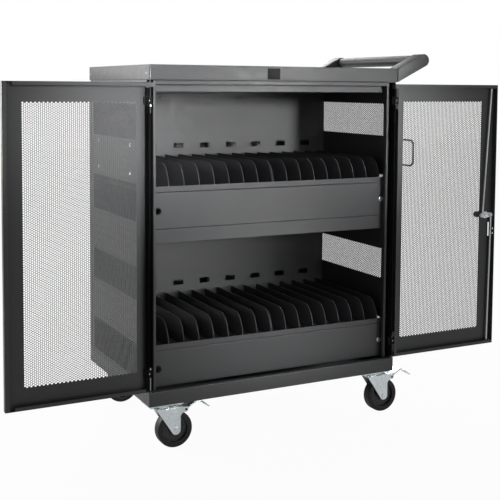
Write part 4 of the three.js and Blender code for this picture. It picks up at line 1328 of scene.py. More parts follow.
@dataclass
class CabinetShell:
    """Lid, base, shelves, fascias, back walls and the vented side panels."""

    shop: Shop
    half_width: float = 391.0
    frame_front: float = -235.5
    frame_back: float = 233.5
    panel_low: float = 169.3
    panel_high: float = 994.7
    vent_depth: Pair = (-190.0, 216.0)
    vent_bands: tuple[Pair, ...] = (
        (176.0, 284.0), (392.0, 497.0), (606.0, 722.0), (828.0, 936.0)
    )
    vent_margin: float = 4.0
    vent_pitch: float = 6.03
    vent_share: float = 0.69
    vent_sheet: float = 0.8
    inlet_y: float = 181.5
    inlet_z: float = 354.0
    badge: tuple[Pair, Pair] = ((-44.5, -6.0), (999.0, 1029.5))
    plain_nodes: tuple[str, ...] = (
        "front_header", "lower_shelf", "upper_shelf", "lower_fascia", "upper_fascia",
        "upper_adapter_tray", "lower_back_wall", "upper_back_wall",
    )

    def build(self) -> None:
        """Make every piece of the shell."""
        for node in ("lid", "base_pan"):
            self.shop.piece(
                f"{node}_steel", bent(Solid.of_node(node)), POWDER_COAT, "cabinet", node
            )
        for node in self.plain_nodes:
            self.shop.piece(
                f"{node}_steel", bent(Solid.of_node(node)), POWDER_COAT, "cabinet", node
            )
        for side in Side:
            self.side_panel(side)
            # Near-black strips on each stile: painted shade of the gap beside the open door.
            self.stile_seal(side)
        self.badge_plate()
        self.fascia_fittings()
        self.side_screws()

    def side_panel(self, side: Side) -> None:
        """Folded side panel with windows, and the perforated vents that fill them.

        Args:
            side: which side of the cart.
        """
        wide = self.half_width
        path = [
            (wide - 26, self.frame_front + 12), (wide - 26, self.frame_front),
            (wide - 18, self.frame_front), (wide - 18, self.frame_front + 18),
            (wide - 7, self.frame_front + 18), (wide - 7, self.frame_front),
            (wide, self.frame_front), (wide, self.frame_back), (wide - 22, self.frame_back),
        ]
        outline = [(side.value * x, y) for x, y in folded(path)]
        panel = Solid().prism(outline, Axis.Z, self.panel_low, self.panel_high)
        through = sorted((side.value * (wide - 3), side.value * (wide + 3)))
        windows = Solid()
        front, back = self.vent_depth
        for low, high in self.vent_bands:
            windows.block((through[0], front, low), (through[1], back, high))
        if side is Side.RIGHT:
            windows.block(
                (through[0], self.inlet_y - 14.3, self.inlet_z - 12.3),
                (through[1], self.inlet_y + 14.3, self.inlet_z + 12.3),
            )
        node = f"{side.word}_side_panel"
        mesh = bent(cut(panel, windows))
        self.shop.piece(f"{node}_steel", mesh, POWDER_COAT, "cabinet", node)
        inner = min(side.value * wide, side.value * (wide - self.vent_sheet))
        bands = []
        for low, high in self.vent_bands:
            edge = self.vent_margin
            sheet = PerforatedSheet(
                self.vent_depth, (low, high), (front + edge, back - edge),
                (low + edge, high - edge), self.vent_pitch, self.vent_share, self.vent_sheet,
            )
            bands.append(sheet.mesh(PERFORATED_COAT, Axis.X, inner))
        vents = joined(*bands)
        self.shop.piece(f"{side.word}_side_vents", vents, PERFORATED_COAT, "cabinet")

    def stile_seal(self, side: Side) -> None:
        """Near-black sealing strips in a stile's gutter and on the strip that the door shuts against, painted
        shade for the shadow in the gap beside the open door.

        Args:
            side: which side of the cart.
        """
        wide, front = self.half_width, self.frame_front
        floor = front + 18.0 - 0.1
        gutter = [
            (wide - 17.9, front + 0.4), (wide - 17.0, front + 0.4), (wide - 17.0, floor - 1.5),
            (wide - 8.0, floor - 1.5), (wide - 8.0, front + 0.4), (wide - 7.1, front + 0.4),
            (wide - 7.1, floor), (wide - 17.9, floor),
        ]
        strip = [
            (wide - 7.2, front - 1.1), (wide - 0.2, front - 1.1), (wide - 0.2, front + 0.2),
            (wide - 7.2, front + 0.2),
        ]
        seal = Solid()
        for outline in (gutter, strip):
            placed = [(side.value * x, y) for x, y in outline]
            seal.prism(placed, Axis.Z, self.panel_low + 0.4, self.panel_high - 0.4)
        self.shop.piece(f"{side.word}_stile_seal", eased(seal, 0.3), SHADE_SEAL_RUBBER, "cabinet")

    def badge_plate(self) -> None:
        """Bare plate on the lid's front, with nothing written on it."""
        front = span("lid")[0].y
        outline = rounded(*self.badge, 2.0)
        plate = Solid().prism(outline, Axis.Y, front - 1.0, front + 0.2)
        self.shop.piece("badge_plate", eased(plate, 0.3), PLATE_GLOSS, "cabinet")

    def fascia_fittings(self) -> None:
        """Grommets on the left of each fascia and quarter-turn locks on its right."""
        front = span("lower_fascia")[0].y
        rings, locks = Solid(), Solid()
        for z in (646.0, 218.0):
            profile = [
                (6.2, front - 1.0), (7.0, front - 1.8), (9.4, front - 1.4), (10.2, front - 0.2),
                (7.4, front + 0.2), (7.4, front + 3.0), (6.2, front + 3.0),
            ]
            rings.lathe(profile, Axis.Y, -351.0, z)
            knob = [
                (0.0, front - 2.2), (3.6, front - 2.2), (4.0, front - 3.2), (6.6, front - 2.6),
                (7.6, front - 0.6), (7.6, front + 0.2), (0.0, front + 0.2),
            ]
            locks.lathe(knob, Axis.Y, 363.0, z)
            locks.block((359.4, front - 3.0, z - 0.8), (366.6, front - 2.0, z + 0.8))
        self.shop.piece("fascia_grommets", joined(rings.mesh()), PIVOT_BLACK, "cabinet")
        self.shop.piece("fascia_quarter_turns", joined(locks.mesh()), ROD_STEEL, "cabinet")

    def side_screws(self) -> None:
        """Bright screws on the left side, and the small rivets at the lid's left end."""
        left = -self.half_width
        screws = [(left, y, z) for y in (-111.0, 157.0) for z in (740.0, 818.0)]
        self.shop.piece(
            "left_panel_screws", heads(ZINC, screws, (-1, 0, 0), 5.0, 2.4), ZINC, "cabinet"
        )
        rivets = [(left, y, 1013.0) for y in (-238.0, -228.0, 236.0)]
        self.shop.piece(
            "lid_rivets",
            heads(ROD_STEEL, rivets, (-1, 0, 0), 2.2, 0.9, crown=0.6, recess=0.6, recess_depth=-0.2),
            ROD_STEEL,
            "cabinet",
        )


@dataclass
class DividerRacks:
    """Moulded racks that keep the laptops apart on both shelves."""

    shop: Shop
    pitch: float = 45.0
    plates: int = 9
    thickness: float = 3.0
    height: float = 72.0
    nose: float = 12.0
    sweep: float = 50.0
    base: float = 2.5

    def build(self) -> None:
        """Make the four racks."""
        for level in ("lower", "upper"):
            for side in Side:
                self.rack(f"{level}_{side.word}_rack")

    def rack(self, node: str) -> None:
        """One rack: a floor and a row of swept dividers.

        Args:
            node: the rack's CAD node.
        """
        low, high = span(node)
        floor, front, back = low.z, low.y, high.y
        top = floor + self.height
        sweep = []
        for i in range(17):
            t = i / 16
            ends = ((front + self.sweep, top), (front + self.sweep / 4, top), (front, floor + self.nose))
            weights = ((1 - t) ** 2, 2 * t * (1 - t), t * t)
            sweep.append(tuple(sum(w * p[k] for w, p in zip(weights, ends)) for k in (0, 1)))
        outline = [(front, floor), (back, floor), (back, top), *sweep]
        plate = eased(Solid().prism(outline, Axis.X, low.x, low.x + self.thickness), 0.8, 2)
        row = grown(
            Growth.repeat(),
            plate,
            {
                "Count": self.plates,
                "Step": (self.pitch, 0.0, 0.0),
                "Material": RACK_PLASTIC.material(),
            },
        )
        floor_plate = Solid().block((low.x, front, floor), (high.x, back, floor + self.base))
        mesh = joined(row, eased(floor_plate, 0.5))
        self.shop.piece(f"{node}_moulding", mesh, RACK_PLASTIC, "cabinet", node)


@dataclass
class PushHandle:
    """Two arms on the lid's right side with a round bar between them."""

    shop: Shop
    root_x: float = 391.3
    root_z: Pair = (995.0, 1035.0)
    centre: Pair = (485.0, 1061.0)
    end_radius: float = 18.45
    bar_radius: float = 16.0

    def build(self) -> None:
        """Make both arms and the bar."""
        low = (self.root_x, self.root_z[0])
        high = (self.root_x, self.root_z[1])
        start = tangent(low, self.centre, self.end_radius, 1)
        end = tangent(high, self.centre, self.end_radius, -1)
        if end < start:
            end += 2 * math.pi
        outline = [low, *arc(self.centre, self.end_radius, start, end, 24), high]
        for node in ("handle_front_arm", "handle_rear_arm"):
            box = span(node)
            arm = Solid().prism(outline, Axis.Y, box[0].y, box[1].y)
            self.shop.piece(f"{node}_steel", eased(arm, 1.6, 4), POWDER_COAT, "cabinet", node)
        near, far = span("handle_bar")
        r = self.bar_radius
        tube = Solid().lathe(
            [(r - 2, near.y), (r, near.y), (r, far.y), (r - 2, far.y)], Axis.Y, *self.centre
        )
        self.shop.piece("handle_bar_tube", joined(tube.mesh()), POWDER_COAT, "cabinet", "handle_bar")


@dataclass
class CordHooks:
    """Bent rods on the right side that a cord is wound on."""

    shop: Shop
    radius: float = 3.0
    bend: float = 15.0
    root_x: float = 391.3
    out_x: float = 491.0
    low: float = 740.0
    high: float = 818.0
    turn: float = 86.0

    def build(self) -> None:
        """Make both hooks with a washer at each root."""
        for node, root, way in (("front_cord_hook", -112.5, -1), ("rear_cord_hook", 157.5, 1)):
            tip = root + way * self.turn
            line = [
                (self.root_x, root, self.low), (self.out_x, root, self.low),
                (self.out_x, tip, self.low), (self.out_x, tip, self.high),
                (self.out_x, root, self.high), (self.root_x, root, self.high),
            ]
            rod = grown(
                Growth.swept_rod(),
                carrier(line, joined=True),
                {"Radius": self.radius, "Bend": self.bend, "Material": POWDER_COAT.material()},
            )
            washers = Solid()
            for z in (self.low, self.high):
                profile = [
                    (self.radius, self.root_x), (8.0, self.root_x), (8.0, self.root_x + 1.2),
                    (5.0, self.root_x + 1.8), (self.radius, self.root_x + 3.0),
                ]
                washers.lathe(profile, Axis.X, root, z, 24)
            mesh = joined(rod, washers.mesh())
            self.shop.piece(f"{node}_rod", mesh, POWDER_COAT, "cabinet", node)


@dataclass
class PowerGear:
    """Power strips with their outlets and switches, and the mains inlet."""

    shop: Shop
    outlets: int = 8
    outlet_pitch: float = 52.0
    first_outlet: float = -250.0

    def build(self) -> None:
        """Make both strips, both switches and the inlet."""
        for level in ("lower", "upper"):
            node = f"{level}_power_strip"
            self.shop.piece(
                f"{node}_case", eased(Solid.of_node(node), 0.8, 3), BLACK_PLASTIC, "cabinet", node
            )
            self.outlet_row(level)
            rocker = f"{level}_switch_rocker"
            self.shop.piece(
                f"{rocker}_cap", eased(Solid.of_node(rocker), 0.6), BLACK_PLASTIC,
                f"{level}_switch", rocker,
            )
        self.inlet()

    def outlet_row(self, level: str) -> None:
        """Row of earthed outlets along the back of a strip.

        Args:
            level: upper or lower.
        """
        low, high = span(f"{level}_power_strip")
        middle = (low.z + high.z) / 2
        back = high.y
        x = self.first_outlet
        face = Solid().prism(
            rounded((x - 13.5, x + 13.5), (middle - 16, middle + 16), 3.0), Axis.Y, back - 0.2, back + 1.4
        )
        slots = Solid()
        for a, half in ((-6.4, 4.4), (6.4, 3.6)):
            slots.block((x + a - 1.0, back - 1.0, middle - half + 4), (x + a + 1.0, back + 3, middle + half + 4))
        slots.prism(ring(x, middle - 8.0, 2.6, 20), Axis.Y, back - 1.0, back + 3.0)
        row = grown(
            Growth.repeat(),
            eased(cut(face, slots), 0.3),
            {
                "Count": self.outlets,
                "Step": (self.outlet_pitch, 0.0, 0.0),
                "Material": RACK_PLASTIC.material(),
            },
        )
        shade(row)
        self.shop.piece(f"{level}_outlets", row, RACK_PLASTIC, "cabinet")

    def inlet(self) -> None:
        """Mains inlet with its three blades and two screws."""
        self.shop.piece(
            "power_inlet_case", eased(Solid.of_node("power_inlet"), 0.5), BLACK_PLASTIC,
            "cabinet", "power_inlet",
        )
        low, high = span("power_inlet")
        y, z = (low.y + high.y) / 2, (low.z + high.z) / 2
        pins = Solid()
        for dy, dz in ((-7.0, -2.0), (7.0, -2.0), (0.0, 2.5)):
            pins.block((low.x + 2, y + dy - 1.0, z + dz - 2.4), (high.x - 8, y + dy + 1.0, z + dz + 2.4))
        self.shop.piece("power_inlet_blades", eased(pins, 0.3), ZINC, "cabinet")
        screws = [(high.x, y + dy, z) for dy in (-18.6, 18.6)]
        mesh = heads(BLACK_PLASTIC, screws, (1, 0, 0), 3.2, 1.4)
        self.shop.piece("power_inlet_screws", mesh, BLACK_PLASTIC, "cabinet")


@dataclass
class FrontDoors:
    """Folded door pans with their perforated sheets, near-black hinge seals that are painted shade of the hinge
    gaps, and pivot hinges.
    """

    shop: Shop
    window_d: Pair = (421.5, 719.0)
    window_z: Pair = (223.0, 940.0)
    hinge_x: float = 385.5
    hinge_y: float = -246.5
    pin_radius: float = 2.5
    rim_y: float = -255.5
    face_y: float = -241.0
    flange_x: Pair = (380.5, 382.0)
    channel_x: float = 393.0
    lip_x: float = 401.0
    screw_x: float = 408.0
    seal_z: tuple[Pair, ...] = ((175.0, 208.4), (231.6, 929.4), (952.6, 975.0))
    rim_lip: Pair = (976.0, 988.4)

    def build(self) -> None:
        """Make both doors."""
        for side in Side:
            body = f"{side.word}_front_door"
            self.pan(side, body)
            self.sheet(side, body)
            # Near-black strip beside the hinge: painted shade of the hinge gap.
            self.seal(side, body)
            for level in ("upper", "lower"):
                self.pivot(side, body, level)

    def pan(self, side: Side, body: str) -> None:
        """Folded pan, with its hinge flange set back by the thickness of the near-black sealing strip.

        Args:
            side: which door.
            body: the body that it rides on.
        """
        node = f"{side.word}_door_pan"
        pan = Solid.of_node(node)
        for vert in pan.bm.verts:
            on_flange = self.flange_x[0] - 0.1 < abs(vert.co.x) < self.flange_x[1] + 0.1
            if on_flange and vert.co.y < self.rim_y + 0.1:
                vert.co.y += 0.9
        low, high = self.rim_lip
        across = sorted(side.value * x for x in (self.flange_x[0], self.channel_x + SHEET))
        lip = Solid().block(
            (across[0], self.rim_y, low), (across[1], self.rim_y + SHEET, high)
        )
        mesh = joined(bent(pan, DOOR_FOLD), eased(lip, 0.5, 2))
        self.shop.piece(f"{node}_steel", mesh, POWDER_COAT, body, node)

    def sheet(self, side: Side, body: str) -> None:
        """Perforated sheet that fills the window, in an upper and a lower half.

        Args:
            side: which door.
            body: the body that it rides on.
        """
        node = f"{side.word}_door_mesh"
        low, high = span(node)
        across = tuple(sorted(side.value * d for d in self.window_d))
        sheet = PerforatedSheet((low.x, high.x), (low.z, high.z), across, self.window_z)
        for word, part in (("lower", (0.0, 0.5)), ("upper", (0.5, 1.0))):
            mesh = sheet.mesh(PERFORATED_COAT, Axis.Y, self.face_y + SHEET - 0.05, part)
            self.shop.piece(f"{node}_{word}", mesh, PERFORATED_COAT, body, node)

    def seal(self, side: Side, body: str) -> None:
        """Near-black sealing strip over the hinge flange and down the channel beside it, painted shade for the
        deep shadow of the hinge gap.

        Args:
            side: which door.
            body: the body that it rides on.
        """
        out, inner = self.flange_x[0] - 0.7, self.flange_x[1] + 0.9
        rim, face = self.rim_y, self.face_y
        outlines = [
            [
                (out, rim), (inner, rim), (inner, face - 1.6), (self.channel_x, face - 1.6),
                (self.channel_x, face), (out, face),
            ]
        ]
        if side is Side.LEFT:
            edge = self.channel_x - 0.9
            outlines.append(
                [
                    (edge, rim), (self.lip_x + 0.6, rim), (self.lip_x + 0.6, rim + 2.2),
                    (edge + 3.0, rim + 2.2), (edge + 3.0, face - 1.5), (edge, face - 1.5),
                ]
            )
        fronts = [
            [(line[0][0], rim), (line[1][0], rim), (line[1][0], rim + 2.2), (line[0][0], rim + 2.2)]
            for line in outlines
        ]
        blocks = [(low[1], high[0]) for low, high in zip(self.seal_z, self.seal_z[1:])]
        seal = Solid()
        for lines, spans in ((outlines, self.seal_z), (fronts, blocks)):
            for outline in lines:
                placed = [(side.value * x, y) for x, y in outline]
                for low, high in spans:
                    seal.prism(placed, Axis.Z, low, high)
        self.shop.piece(f"{side.word}_hinge_seal", eased(seal, 0.25), SHADE_SEAL_RUBBER, body)

    def pivot(self, side: Side, body: str, level: str) -> None:
        """Dark pivot block, its pin, a bright collar and the screws that hold the block.

        Args:
            side: which door.
            body: the body that it rides on.
            level: upper or lower.
        """
        node = f"{side.word}_{level}_hinge"
        low, high = span(node)
        block = (930.0, 952.0) if level == "upper" else (209.0, 231.0)
        plate = Solid().prism(
            rounded((low.x, high.x), block, 2.5), Axis.Y, low.y + 0.6, high.y
        )
        self.shop.piece(f"{node}_block", eased(plate, 0.7, 3), PIVOT_BLACK, body, node)
        r = self.pin_radius
        end = block[0] if level == "upper" else block[1]
        way = -1.0 if level == "upper" else 1.0
        pin = Solid().lathe(
            [(0.0, low.z), (r - 0.6, low.z), (r, low.z + 0.6), (r, high.z - 0.6),
             (r - 0.6, high.z), (0.0, high.z)],
            Axis.Z, side.value * self.hinge_x, self.hinge_y, 24,
        )
        # Upper pins take the dark copy of the pin steel as painted shade; lower pins the bright rod steel.
        steel = SHADED_PIN_STEEL if level == "upper" else ROD_STEEL
        self.shop.piece(f"{node}_pin", joined(pin.mesh()), steel, body, node)
        near, far = sorted((end - way * 0.2, end + way * 4.0))
        collar = Solid().lathe(
            [(r, near), (r + 1.6, near), (r + 1.6, far), (r, far)],
            Axis.Z, side.value * self.hinge_x, self.hinge_y, 24,
        )
        points = [(side.value * (self.hinge_x + 5.0), low.y + 0.6, sum(block) / 2)]
        if side is Side.RIGHT:
            points.append((self.screw_x, self.face_y, sum(block) / 2))
        screws = heads(ZINC, points, (0, -1, 0), 2.8, 1.2)
        self.shop.piece(f"{node}_collar", joined(collar.mesh(), screws), ZINC, body)


@dataclass
class DoorLock:
    """Handle, crank and two rods that bolt the right door at its top and bottom."""

    shop: Shop
    x: float = 743.0
    z: float = 581.0
    arm: float = 17.0
    rod_y: float = -248.3
    rod_radius: float = 3.0
    guide_x: float = 752.0
    tips: Pair = (176.5, 984.5)
    strap: float = 68.0

    def build(self) -> None:
        """Make the lock's pieces."""
        self.housing()
        self.handle()
        self.crank()
        self.rod("upper", self.x - self.arm, self.tips[1], 30.0)
        self.rod("lower", self.x + self.arm, self.tips[0], self.strap)
        for level in ("upper", "lower"):
            node = f"{level}_rod_guide"
            self.shop.piece(
                f"{node}_block", eased(Solid.of_node(node), 0.8, 2), BLACK_PLASTIC,
                "right_front_door", node,
            )

    def housing(self) -> None:
        """Turned housing that stands in the door's face."""
        low, high = span("lock_body")
        face = -239.2
        profile = [
            (6.3, low.y), (10.4, low.y), (11.0, low.y + 0.6), (11.0, face), (17.0, face),
            (17.0, high.y - 1.5), (15.5, high.y), (6.3, high.y),
        ]
        body = Solid().lathe(profile, Axis.Y, self.x, self.z)
        self.shop.piece("lock_housing", joined(body.mesh()), ZINC, "right_front_door", "lock_body")

    def handle(self) -> None:
        """Moulded T handle with its stem and spindle."""
        low, high = span("lock_handle")
        grip = Solid().prism(
            rounded((low.x, high.x), (self.z - 9, self.z + 9), 8.5), Axis.Y, high.y - 12, high.y
        )
        stem = Solid().lathe(
            [(0.0, high.y - 12.5), (9.5, high.y - 11.8), (11.0, high.y - 14), (11.0, -233.2),
             (6.0, -233.2), (6.0, low.y + 0.5), (5.5, low.y), (0.0, low.y)],
            Axis.Y, self.x, self.z,
        )
        mesh = joined(eased(grip, 2.4, 4), stem.mesh())
        self.shop.piece("lock_t_handle", mesh, BLACK_PLASTIC, "front_lock", "lock_handle")

    def crank(self) -> None:
        """Crank plate with its two pins, their clips and the spindle's nut."""
        low, high = span("lock_cam")
        plate = Solid().prism(
            rounded((low.x, high.x), (low.z, high.z), 7.2), Axis.Y, high.y - 3.0, high.y
        )
        pins = Solid()
        for x in (self.x - self.arm, self.x + self.arm):
            pins.lathe(
                [(0.0, low.y), (2.6, low.y), (3.0, low.y + 0.4), (3.0, high.y - 2), (0.0, high.y - 2)],
                Axis.Y, x, self.z, 24,
            )
        nut = Solid().prism(ring(self.x, self.z, 6.4, 6, 0.2), Axis.Y, -248.2, high.y - 3.0)
        mesh = joined(eased(plate, 0.4), pins.mesh(), eased(nut, 0.5))
        self.shop.piece("lock_crank", mesh, ZINC, "front_lock", "lock_cam")

    def rod(self, level: str, pin_x: float, tip_z: float, strap: float) -> None:
        """Lock rod: an eye on its pin, a flat strap and a round rod to its guide.

        Args:
            level: upper or lower.
            pin_x: where its crank pin is.
            tip_z: the height of its free end.
            strap: how long its flat part is.
        """
        pin = Vector((pin_x, self.rod_y, self.z))
        tip = Vector((self.guide_x, self.rod_y, tip_z))
        length = (tip - pin).length
        r = self.rod_radius
        eye = cut(
            Solid().prism(ring(0.0, 0.0, 7.0), Axis.Y, -1.5, 1.5),
            Solid().prism(ring(0.0, 0.0, 3.3, 24), Axis.Y, -3.0, 3.0),
        )
        flat = Solid().prism(
            [(-3.0, 5.0), (3.0, 5.0), (3.0, strap), (-3.0, strap)], Axis.Y, -1.5, 1.5
        )
        shank = Solid().lathe(
            [(0.0, strap - 6), (r, strap - 4), (r, length - 1.2), (r - 1.2, length), (0.0, length)],
            Axis.Z, 0.0, 0.0, 24,
        )
        mesh = joined(eased(eye, 0.3), eased(flat, 0.4), shank.mesh())
        lean = math.atan2(tip.x - pin.x, tip.z - pin.z)
        mesh.transform(Matrix.Translation(pin) @ Matrix.Rotation(lean, 4, "Y"))
        self.shop.piece(f"{level}_rod_steel", mesh, ROD_STEEL, f"{level}_rod", f"{level}_lock_rod")


@dataclass
class RearDoors:
    """Plain rear doors and their key lock."""

    shop: Shop
    lock_x: float = 21.0
    lock_z: float = 581.0

    def build(self) -> None:
        """Make both doors and the lock."""
        for side in Side:
            node = f"rear_{side.word}_door"
            mesh = bent(Solid.of_node(node), DOOR_FOLD)
            self.shop.piece(f"{node}_steel", mesh, POWDER_COAT, node, node)
        low, high = span("rear_lock")
        x, z, back = self.lock_x, self.lock_z, high.y
        knob = Solid().lathe(
            [(0.0, back - 0.6), (6.2, back - 0.6), (6.8, back), (10.8, back - 0.5),
             (12.0, back - 2.0), (12.0, back - 3.7), (6.0, back - 3.7), (6.0, low.y), (0.0, low.y)],
            Axis.Y, x, z,
        )
        key = Solid().block((x - 0.9, back - 1.0, z - 3.6), (x + 0.9, back - 0.2, z + 3.6))
        blade = Solid().prism(
            rounded((x - 7, x + 7), (low.z, z + 7), 3.0), Axis.Y, low.y, low.y + 3.0
        )
        mesh = joined(knob.mesh(), key.mesh(), eased(blade, 0.4))
        self.shop.piece("rear_key_lock", mesh, ZINC, "rear_lock", "rear_lock")


@dataclass
class Casters:
    """Four swivel casters, the front two with a brake pedal."""

    shop: Shop
    swivel_x: float = 339.0
    swivel_y: Pair = (-213.0, 211.0)
    plate: Triple = (100.0, 70.0, 3.7)
    plate_top: float = 129.7
    race_radius: float = 26.0
    race_low: float = 116.3
    fork_top: float = 116.0
    fork_sheet: float = 3.0
    fork_half: float = 18.5
    fork_length: float = 58.0
    foot_radius: float = 13.0
    trail: float = 33.0
    wheel_radius: float = 50.0
    wheel_half: float = 16.0
    tread: float = 12.0
    hub_radius: float = 14.0
    axle_radius: float = 5.0
    hollow_radius: float = 13.0
    ear_radius: float = 7.0
    rib_half: Pair = (6.5, 3.5)
    rib_ends: tuple[Pair, Pair] = ((6.0, 106.0), (29.0, 66.0))
    rib_height: float = 0.9
    pedal_pivot: Pair = (62.0, 104.0)
    pedal_crown: Pair = (98.0, 125.0)
    pedal_tip: Pair = (134.0, 102.0)
    pedal_width: float = 35.0

    def build(self) -> None:
        """Make the four casters."""
        for end, y in zip(("front", "rear"), self.swivel_y):
            for side in Side:
                name = f"{end}_{side.word}"
                place = Matrix.Translation((side.value * self.swivel_x, y, 0.0))
                self.top_plate(name, place)
                self.fork(name, place, end == "front")
                self.wheel(name, place)
                if end == "front":
                    self.pedal(name, place)

    def top_plate(self, name: str, place: Matrix) -> None:
        """Top plate with the swivel's race, its kingpin and four bolts.

        Args:
            name: which caster.
            place: where its swivel stands.
        """
        length, width, sheet = self.plate
        low = self.plate_top - sheet
        plate = Solid().prism(
            rounded((-length / 2, length / 2), (-width / 2, width / 2), 8.0), Axis.Z, low, self.plate_top
        )
        r, under = self.race_radius, self.race_low
        race = Solid().lathe(
            [(0.0, under - 6.2), (5.4, under - 6.2), (6.0, under - 5.6), (6.0, under),
             (r - 3.0, under), (r - 2.0, under + 0.8), (r - 2.0, under + 3.4),
             (r - 4.6, under + 4.0), (r - 4.6, under + 5.2), (r - 0.6, under + 5.8),
             (r, under + 7.0), (r, low), (0.0, low)],
            Axis.Z, 0.0, 0.0,
        )
        points = [(x, y, low) for x in (-40.0, 40.0) for y in (-26.0, 26.0)]
        bolts = heads(
            ZINC, points, (0, 0, -1), 6.5, 4.0, sides=6, crown=0.94, recess=0.8, recess_depth=-0.4
        )
        mesh = joined(eased(plate, 0.6), race.mesh(), bolts)
        mesh.transform(place)
        node = f"{name}_caster_plate"
        self.shop.piece(f"{node}_zinc", mesh, ZINC, "cabinet", node)

    def leg(self, has_pedal: bool) -> list[Pair]:
        """Outline of a fork's side: down and back to the axle, with an ear for the pedal.

        Args:
            has_pedal: whether the ear is there.

        Returns:
            The outline's points, as (back from the swivel, up).
        """
        foot = (self.trail, self.wheel_radius)
        top_front = (-self.fork_length / 2 + self.fork_sheet, self.fork_top)
        top_back = (self.fork_length / 2, self.fork_top)
        start = tangent(top_front, foot, self.foot_radius, 1)
        if not has_pedal:
            end = tangent(top_back, foot, self.foot_radius, -1)
            while end < start:
                end += 2 * math.pi
            return [top_front, *arc(foot, self.foot_radius, start, end, 28), top_back]
        points = [top_front, *arc(foot, self.foot_radius, start, 2 * math.pi, 28)]
        back = foot[0] + self.foot_radius
        ear_low = self.pedal_pivot[1] - self.ear_radius
        hollow = (back + self.hollow_radius, ear_low - self.hollow_radius)
        points += arc(hollow, self.hollow_radius, math.pi, math.pi / 2, 10)
        points += arc(self.pedal_pivot, self.ear_radius, -math.pi / 2, math.pi / 2, 14)
        return [*points, top_back]

    def rib(self) -> list[Pair]:
        """Outline of the pressed rib that runs down a fork's side to its axle.

        Returns:
            The outline's points, as (back from the swivel, up).
        """
        top, low = (Vector(end) for end in self.rib_ends)
        across = Vector((-(low - top).y, (low - top).x)).normalized()
        lean = math.atan2(across.y, across.x)
        wide, narrow = self.rib_half
        return [
            *arc(tuple(top), wide, lean + math.pi, lean, 12),
            *arc(tuple(low), narrow, lean, lean - math.pi, 12),
        ]

    def fork(self, name: str, place: Matrix, has_pedal: bool) -> None:
        """Pressed fork with its axle bolt, nut and swivel cup.

        Args:
            name: which caster.
            place: where its swivel stands.
            has_pedal: whether it carries a brake pedal.
        """
        inner, outer = self.fork_half, self.fork_half + self.fork_sheet
        half, top = self.fork_length / 2, self.fork_top
        crown = Solid().prism(
            rounded((-half, half), (-outer, outer), 3.0), Axis.Z, top - self.fork_sheet, top
        )
        bore = Solid().prism(ring(0.0, 0.0, 6.4, 24), Axis.Z, top - 6.0, top + 3.0)
        legs = Solid()
        outline = self.leg(has_pedal)
        legs.prism(outline, Axis.Y, -outer, -inner)
        legs.prism(outline, Axis.Y, inner, outer)
        z = self.wheel_radius
        axle = Solid().lathe(
            [(0.0, -outer - 1.4), (self.axle_radius, -outer - 1.4), (self.axle_radius, outer + 1.4),
             (0.0, outer + 1.4)],
            Axis.Y, self.trail, z, 24,
        )
        ends = []
        for y, way in ((-outer, -1), (outer, 1)):
            ends.append(
                heads(ZINC, [(self.trail, y, z)], (0, way, 0), 8.0, 3.6, sides=6, crown=0.95,
                      recess=0.78, recess_depth=-0.3)
            )
        ribs = Solid()
        for low, high in ((-outer - self.rib_height, -inner - 1), (inner + 1, outer + self.rib_height)):
            ribs.prism(self.rib(), Axis.Y, low, high)
        parts = [eased(cut(crown, bore), 0.6), eased(legs, 0.8, 3), eased(ribs, 0.8, 3), axle.mesh(), *ends]
        if has_pedal:
            pin = Solid().lathe(
                [(0.0, -outer), (3.5, -outer), (3.5, outer), (0.0, outer)], Axis.Y, *self.pedal_pivot, 24
            )
            parts.append(pin.mesh())
        mesh = joined(*parts)
        mesh.transform(place)
        node = f"{name}_fork"
        self.shop.piece(f"{node}_zinc", mesh, ZINC, f"{name}_swivel", node)

    def wheel(self, name: str, place: Matrix) -> None:
        """Rubber tread on a moulded core with a hub.

        Args:
            name: which caster.
            place: where its swivel stands.
        """
        at = place @ Matrix.Translation((self.trail, 0.0, self.wheel_radius))
        r, half = self.wheel_radius, self.wheel_half
        rim = r - self.tread
        edge = [
            (r - 5.0 + 5.0 * math.sin(t), half - 5.0 + 5.0 * math.cos(t))
            for t in (i * math.pi / 12 for i in range(7))
        ]
        upper = [(rim, half - 0.6), (rim + 0.6, half), *edge]
        lower = [(radius, -along) for radius, along in reversed(upper)]
        tread = Solid().lathe([*upper, *lower], Axis.Y, 0.0, 0.0, 72)
        mesh = joined(tread.mesh())
        mesh.transform(at)
        body, node = f"{name}_wheel", f"{name}_wheel"
        self.shop.piece(f"{node}_tread", mesh, TYRE_RUBBER, body, node)
        hub, disc = self.fork_half - 0.3, half - 8.0
        bore = self.axle_radius + 0.3
        upper = [
            (bore, hub), (self.hub_radius - 1.0, hub), (self.hub_radius, hub - 1.0),
            (self.hub_radius, disc + 1.5), (self.hub_radius + 1.5, disc), (rim - 4.0, disc),
            (rim - 2.4, half - 1.0), (rim - 0.2, half - 0.6),
        ]
        lower = [(radius, -along) for radius, along in reversed(upper)]
        core = Solid().lathe([*upper, *lower], Axis.Y, 0.0, 0.0, 72)
        mesh = joined(core.mesh())
        mesh.transform(at)
        self.shop.piece(f"{node}_core", mesh, WHEEL_CORE, body)

